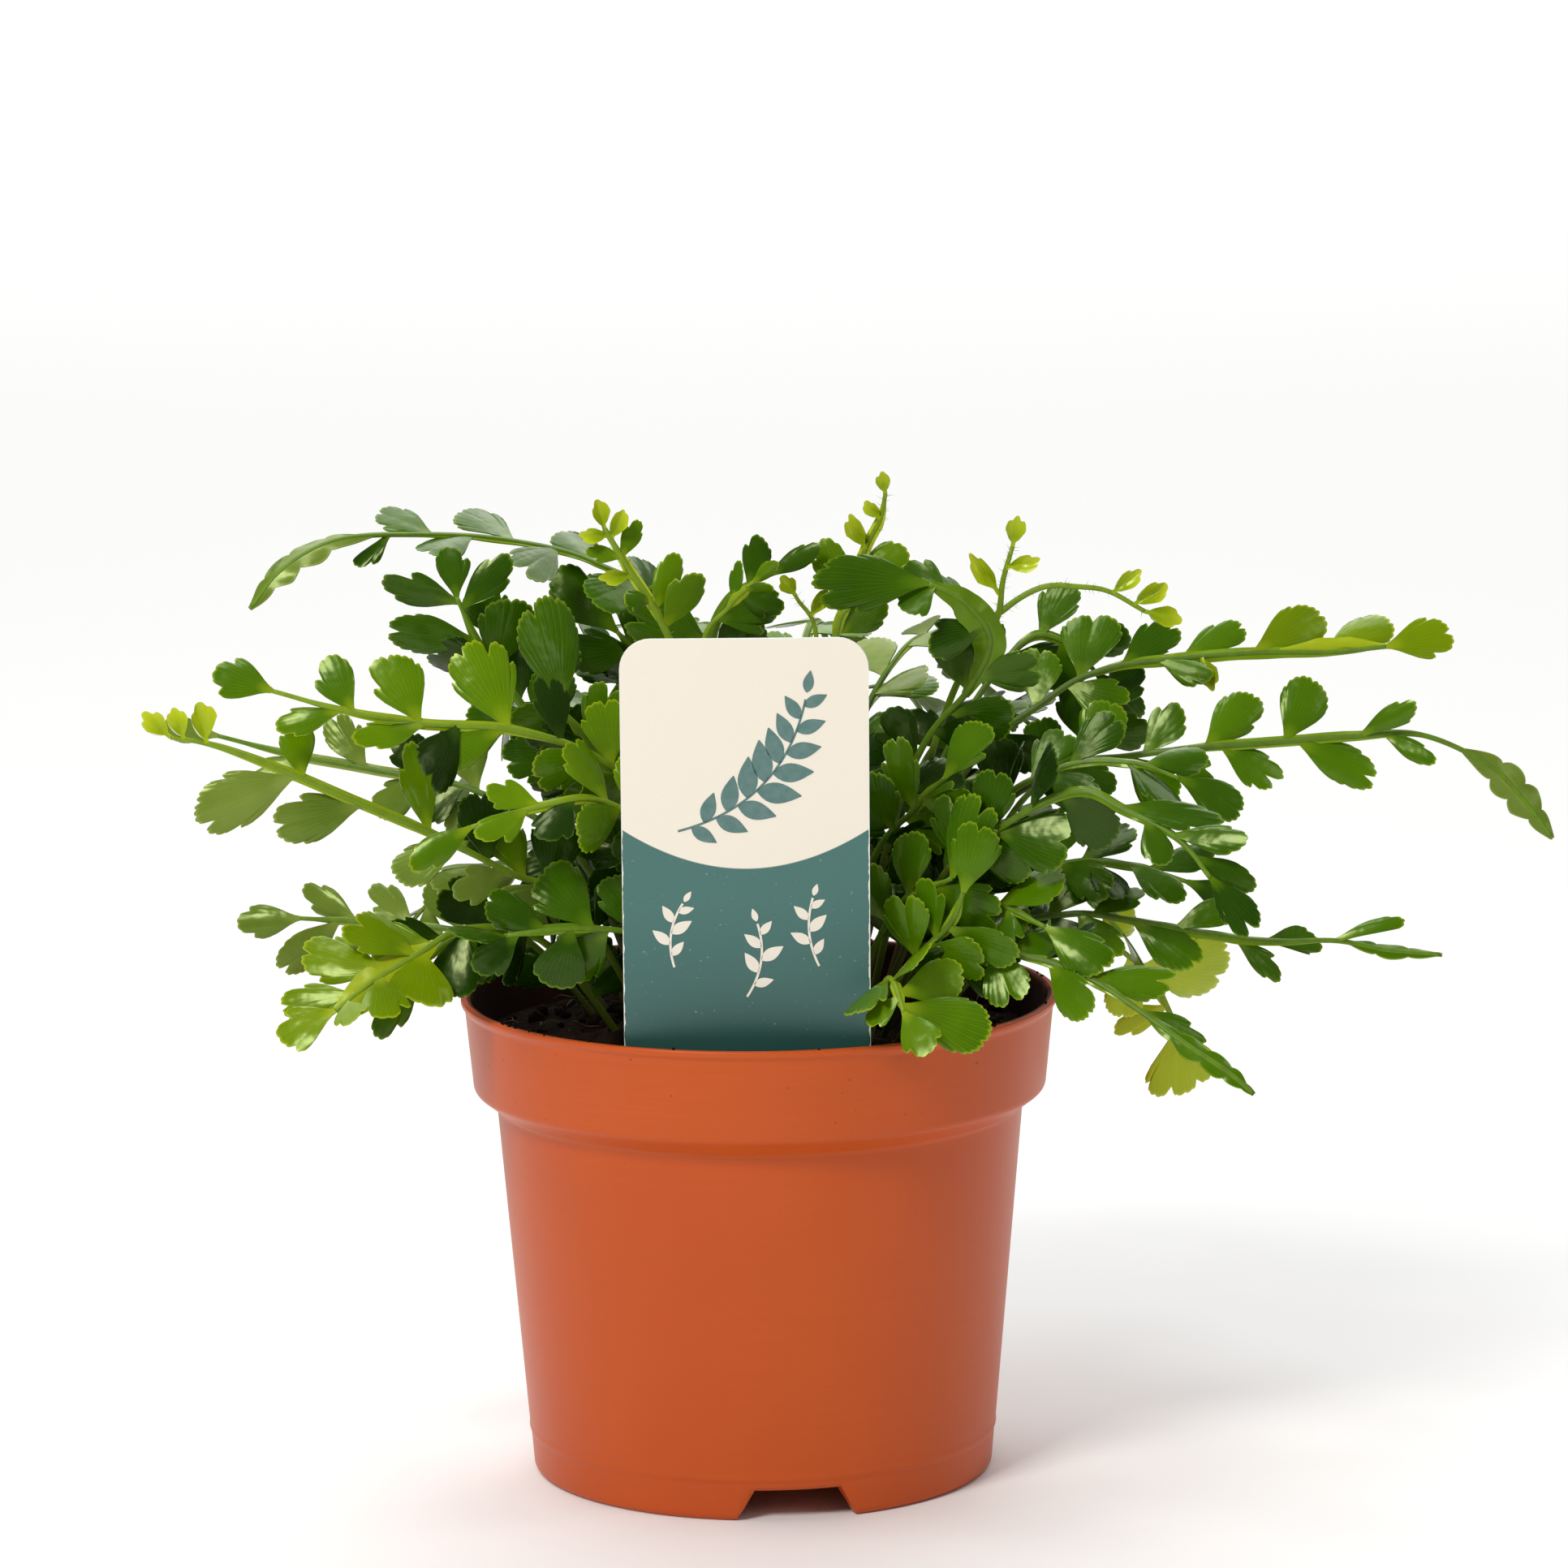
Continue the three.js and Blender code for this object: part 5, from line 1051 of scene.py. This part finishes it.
def young_leaflet(axes, length, radius, random):
    """A leaflet that hasn't opened yet: a small thick fan with three blunt lobes on a stalk. Its sides curl
    to its face by the square of their share of the width, its edge by the cube of its share of the length,
    and it is thickest at half its length."""
    place = np.arange(young_columns)
    v = 2 * place / (young_columns - 1) - 1
    long, wide = length + 1.1 * radius, 1.85 * radius
    reach = 1 + random.uniform(-0.14, 0.14) * v
    for k in (random.uniform(6, 9), random.uniform(15, 18)):
        reach = reach - random.uniform(0.06, 0.2) * np.exp(-((place - k) / 2) ** 2)
    a, b = leaf_outline(long, wide, 0, True, young_columns, reach)
    u = young_rows[:, None]
    stalk = max(0.25, (length - 1.6 * radius) / long)
    opened = np.clip((u - stalk) / (1 - stalk), 0, 1)
    b = 0.42 * np.sin(v * math.pi / 2) * (1 - opened) + b * opened ** 0.8
    cup, curl = random.uniform(0.4, 0.8), random.uniform(0.3, 1.1)
    c = radius * (cup * (2 * b / wide) ** 2 + curl * opened ** 3)
    middle = axes[0] + np.stack([a * u, b, c], 2) @ axes[1:]
    depth = (0.36 + 0.34 * radius * np.sin(math.pi * opened ** 0.8) - 0.2 * opened ** 4)[..., None] * axes[3]
    return closed_sheet(middle, depth, 0.3 + 0.7 * opened, v, 0.0, 0.35 + 0.65 * opened ** 2,
                        random.uniform(0.3, 1))


def strap_sheet(path, facing, strap, random, toothed=True, aside=0):
    """The ribbon of joined leaflets: a thin closed sheet along the path, whose half width goes in rounded
    teeth and tapers to both ends. It is folded a little along its midrib, and its edges ripple. Without
    teeth it is the narrow wing that runs up both sides of a stem between its leaflets, or lies aside by that
    share of its half width."""
    start, end, half_width = strap
    at = np.linspace(start, end, int((end - start) / tooth_step * 7) + 1)
    point, _, out, across = path_directions(path, facing, at)
    run = (at - start) / (end - start)
    taper = np.minimum(1, 0.25 + 2.5 * run) * np.minimum(1, 0.18 + 2.1 * (1 - run))
    tooth = 0.66 + 0.36 * np.abs(np.sin(math.pi * (at - start) / (2 * tooth_step))) ** 0.7 if toothed else 1
    half = np.maximum(half_width * tooth * taper, 0.45)[:, None]
    v = np.linspace(-1, 1, 11 if toothed else 5)
    side = np.abs(v)
    height = 0.1 * half * np.sin(9 * at + random.uniform(0, 6))[:, None] * v ** 2 - 0.22 * half * side ** 1.3
    middle = (point[:, None] + (half * (v + aside))[..., None] * across[:, None]
              + height[..., None] * out[:, None])
    depth = (blade_thickness * (0.75 - 0.35 * side))[None, :, None] * out[:, None]
    lines = (at[:, None] - 0.28 * side) / tooth_step / 2 % 1 * 2 - 1
    return closed_sheet(middle, depth, side * toothed, lines, 1.0, side > 0.99 if toothed else 0.5, 0.5)


def stem_tube(path, facing, end, radius):
    """A closed tube along a path up to a place. Its radius falls evenly along the path, and a shallow groove
    runs up its facing side. Both ends close in a point. Gives points, faces and each point's share of the
    path."""
    spans = len(path) - 1
    chain = path_points(path, np.linspace(0, end, 200))
    reach = np.linalg.norm(np.diff(chain, axis=0), axis=1).sum()
    at = np.linspace(0, end, max(4, int(reach / stem_spacing)))
    point, _, out, across = path_directions(path, facing, at)
    turn = np.linspace(0, 2 * math.pi, stem_sides, endpoint=False)
    bulge = 1 - groove_depth * np.exp(-(np.minimum(turn, 2 * math.pi - turn) / groove_width) ** 2)
    size = radius * (1 - stem_taper * at / spans)[:, None] * bulge
    away = np.cos(turn)[:, None] * out[:, None] + np.sin(turn)[:, None] * across[:, None]
    points, faces = closed_ends(point[:, None] + size[..., None] * away, point[:1], point[-1:], flip=True)
    return points, faces, np.concatenate([np.repeat(at / spans, stem_sides), [0, end / spans]])


def hairs(path, facing, radius, random):
    """Fine hairs that stand out of a stem: cones of three sides at chance places and bearings, bent towards
    the stem's tip."""
    at = random.uniform(0.8, len(path) - 1, hair_count)
    point, along, out, across = path_directions(path, facing, at)
    bearing = random.uniform(0, 6.28, (hair_count, 1))
    away = np.cos(bearing) * out + np.sin(bearing) * across
    foot = point + 0.7 * radius * away
    tip = foot + random.uniform(0.6, 1.7, (hair_count, 1)) * (away + 0.35 * along)
    aside = np.cross(away, along)
    base = [foot + 0.055 * (math.cos(t) * aside + math.sin(t) * along) for t in (0.0, -2.1, -4.2)]
    trios = np.array([(0, 1, 3), (1, 2, 3), (2, 0, 3), (2, 1, 0)])
    trios = (trios[None] + 4 * np.arange(hair_count)[:, None, None]).reshape(-1, 3)
    return np.stack([*base, tip], 1).reshape(-1, 3), trios


def leaf_paint(name, dark, light, rim_colour, under_colour):
    """The finish of a blade: a base colour by leaf and by cloudy patches, pale veins that fork outwards,
    a paler margin and stalk, a duller underside, and a slightly uneven surface."""
    paint = Finish(name, 0.22, Specular_IOR_Level=0.38, Specular_Tint=(0.85, 1.0, 0.45, 1.0))
    u, v, under = paint.node("SeparateXYZ", Vector=paint.attribute("leaf", "Vector")).outputs
    patch = paint.ranged(paint.noise(75.0, 3.0), 0.3, 0.7)
    lean = paint.node("Mix", i0=0.45, i2=paint.attribute("tint"), i3=patch).outputs[0]
    skin = paint.blend(lean, dark, light)

    def fork(count, first, full):
        """How near a place is to one of the veins, which all run out from the stalk: 1 on a vein."""
        off = paint.sum("PINGPONG", paint.sum("MULTIPLY", v, count), 0.5)
        near = paint.ranged(paint.sum("MULTIPLY", off, u), 0.0, 0.11, 1.0, 0.0)
        return paint.sum("MULTIPLY", near, paint.ranged(u, first, full))

    vein = paint.sum("MAXIMUM", fork(7.0, 0.0, 0.15), fork(14.0, 0.45, 0.7))
    skin = paint.blend(paint.sum("MULTIPLY", vein, 0.14), skin, rim_colour)
    skin = paint.blend(paint.ranged(u, 0.0, 0.3, 0.55, 0.0), skin, rim_colour)
    skin = paint.blend(paint.ranged(paint.attribute("rim"), 0.35, 1.0, 0.0, 0.7), skin, rim_colour)
    skin = paint.blend(paint.sum("MULTIPLY", under, 0.7), skin, under_colour)
    return paint.wear(Base_Color=skin, Normal=paint.relief(0.4, 0.0008, paint.noise(190.0)))


def stem_paint(name, foot_colour, low_colour, high_colour):
    """The finish of a stem: it turns from its foot colour to green within its first fifth, and slowly to a
    paler green at the tip, with fine streaks."""
    paint = Finish(name, 0.42, Specular_IOR_Level=0.3)
    along = paint.attribute("along")
    green = paint.blend(along, low_colour, high_colour)
    aged = paint.blend(paint.ranged(along, 0.04, 0.24), foot_colour, green)
    streak = paint.ranged(paint.noise(500.0), 0.4, 0.7, 0.0, 0.3)
    return paint.wear(Base_Color=paint.blend(streak, aged, foot_colour))


# The tones of a blade: its darkest and lightest colour, its margin and its underside
blade_colours = {"shaded": [(8, 32, 0), (28, 60, 0), (70, 104, 12), (44, 72, 12)],
                 "deep": [(18, 53, 0), (58, 96, 0), (110, 144, 20), (76, 106, 24)],
                 "mid": [(36, 78, 0), (82, 122, 0), (138, 164, 26), (98, 128, 32)],
                 "bright": [(50, 93, 0), (98, 133, 0), (162, 180, 30), (118, 142, 30)],
                 "yellow": [(80, 114, 0), (122, 148, 0), (178, 190, 36), (132, 150, 34)],
                 "young": [(112, 145, 4), (162, 181, 16), (204, 211, 50), (140, 162, 36)],
                 "dull": [(74, 102, 20), (118, 138, 52), (150, 166, 76), (120, 140, 62)],
                 "pale": [(138, 158, 0), (178, 192, 30), (204, 210, 80), (166, 178, 30)]}
blade_paints = {tone: leaf_paint("leaf_" + tone, *[linear(*colour) for colour in colours])
                for tone, colours in blade_colours.items()}
stem_green = stem_paint("stem_green", linear(66, 56, 24), linear(76, 106, 14), linear(100, 136, 14))
young_green = stem_paint("young_green", linear(90, 108, 24), linear(106, 138, 18), linear(128, 156, 24))
blanks = {"leaf": np.zeros(3), "rim": 0.0, "tint": 0.0, "along": 1.0}

for index, frond in enumerate(fronds):
    random = np.random.default_rng(500 + index)
    name, tone, path, strap = frond["name"], frond["tone"], frond["path"], frond.get("strap")
    facing = np.array(frond["facing"], float)
    spans = len(path) - 1
    radius = stem_radius * frond.get("thick", 1)
    # Past this place the blades are painted paler: painted light that shines through them
    pale, painted_light_tone = painted_light_from.get(name, (spans + 1, tone))
    stem_colour = young_green if tone in ("young", "yellow", "bright") else stem_green
    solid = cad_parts[name].data
    corners = np.empty(3 * len(solid.vertices), np.float32)
    solid.vertices.foreach_get("co", corners)
    corners = np.unique(np.round(corners.reshape(-1, 3).astype(float) / MM, 3), axis=0)

    # Each part of the frond: its points, its faces, its finish, its values and its border marks
    parts = []
    stems = [(path, frond.get("buds", []))]
    stems += [(twig, frond.get("twig_buds", [])) for twig in frond.get("twigs", [])]
    for stem_path, buds in stems:
        tip = len(stem_path) - (1.05 if strap else 1)
        tube, faces, share = stem_tube(stem_path, facing, tip, stem_ease * radius)
        parts.append((tube, faces, stem_colour, {"along": share}, 0))
        for at, length, bud_radius, swing in buds:
            axes = leaf_axes(path_directions(stem_path, facing, at), swing, 0, 0)
            points, faces, own, border = young_leaflet(axes, length, bud_radius, random)
            parts.append((points, [faces], blade_paints["young"], own, border))
        if tone == "young":
            points, faces = hairs(stem_path, facing, radius, random)
            parts.append((points, [faces], young_green, {}, 0))
    ribbons = []
    if strap:
        ribbons.append((strap, True, 0, painted_light_tone if strap[0] > pale else tone))
    if "leaves" in frond:
        first = min(row[0] for row in frond["leaves"]) - 0.3
        last = strap[0] + 0.1 if strap else spans
        ribbons.append(((first, last, wing_halves.get(name, wing_half)), False, 0, tone))
    if name in one_sided:
        ribbons.append((one_sided[name], False, one_sided_shift, painted_light_tone))
    for ribbon, toothed, aside, ribbon_tone in ribbons:
        points, faces, own, border = strap_sheet(path, facing, ribbon, random, toothed, aside)
        parts.append((points, [faces], blade_paints[ribbon_tone], own, border))
    outer = placed_leaves(frond, 101 + 37 * index, corners)
    inner = inner_leaves(frond, outer, np.random.default_rng(900 + index)) if frond.get("lower", 2) else []
    for place, leaf in enumerate(outer + inner):
        points, faces, own, border = leaf_sheet(leaf, random)
        leaf_tone = "bright" if tone == "young" else leaf_tones.get(name, tone)
        # Leaves in the dense middle take the shaded tone: painted shade, darker for the shade inside the
        # plant
        leaf_tone = "shaded" if place >= len(outer) else painted_light_tone if leaf[0] > pale else leaf_tone
        leaf_tone = "dull" if leaf[3] * hazy_side.get(name, 0) > 0 else leaf_tone
        parts.append((points, [faces], blade_paints[leaf_tone], own, border))

    paints = list(dict.fromkeys(part[2] for part in parts))
    starts = np.cumsum([0] + [len(part[0]) for part in parts])
    quads_and_trios, slots = {4: [], 3: []}, {4: [], 3: []}
    for start, (_, groups, paint, _, _) in zip(starts, parts):
        for group in groups:
            quads_and_trios[group.shape[1]].append(group + start)
            slots[group.shape[1]].append(np.full(len(group), paints.index(paint)))
    values = {key: np.concatenate([np.broadcast_to(part[3].get(key, blank), (len(part[0]), *np.shape(blank)))
                                   for part in parts]) for key, blank in blanks.items()}
    piece = put(name + "_fine", np.vstack([part[0] for part in parts]),
                [np.vstack(groups) for groups in quads_and_trios.values()], paints,
                [np.concatenate(groups) for groups in slots.values()], values,
                np.concatenate([np.broadcast_to(part[4], len(part[0])) for part in parts]))
    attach(piece, "root")
    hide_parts(name)
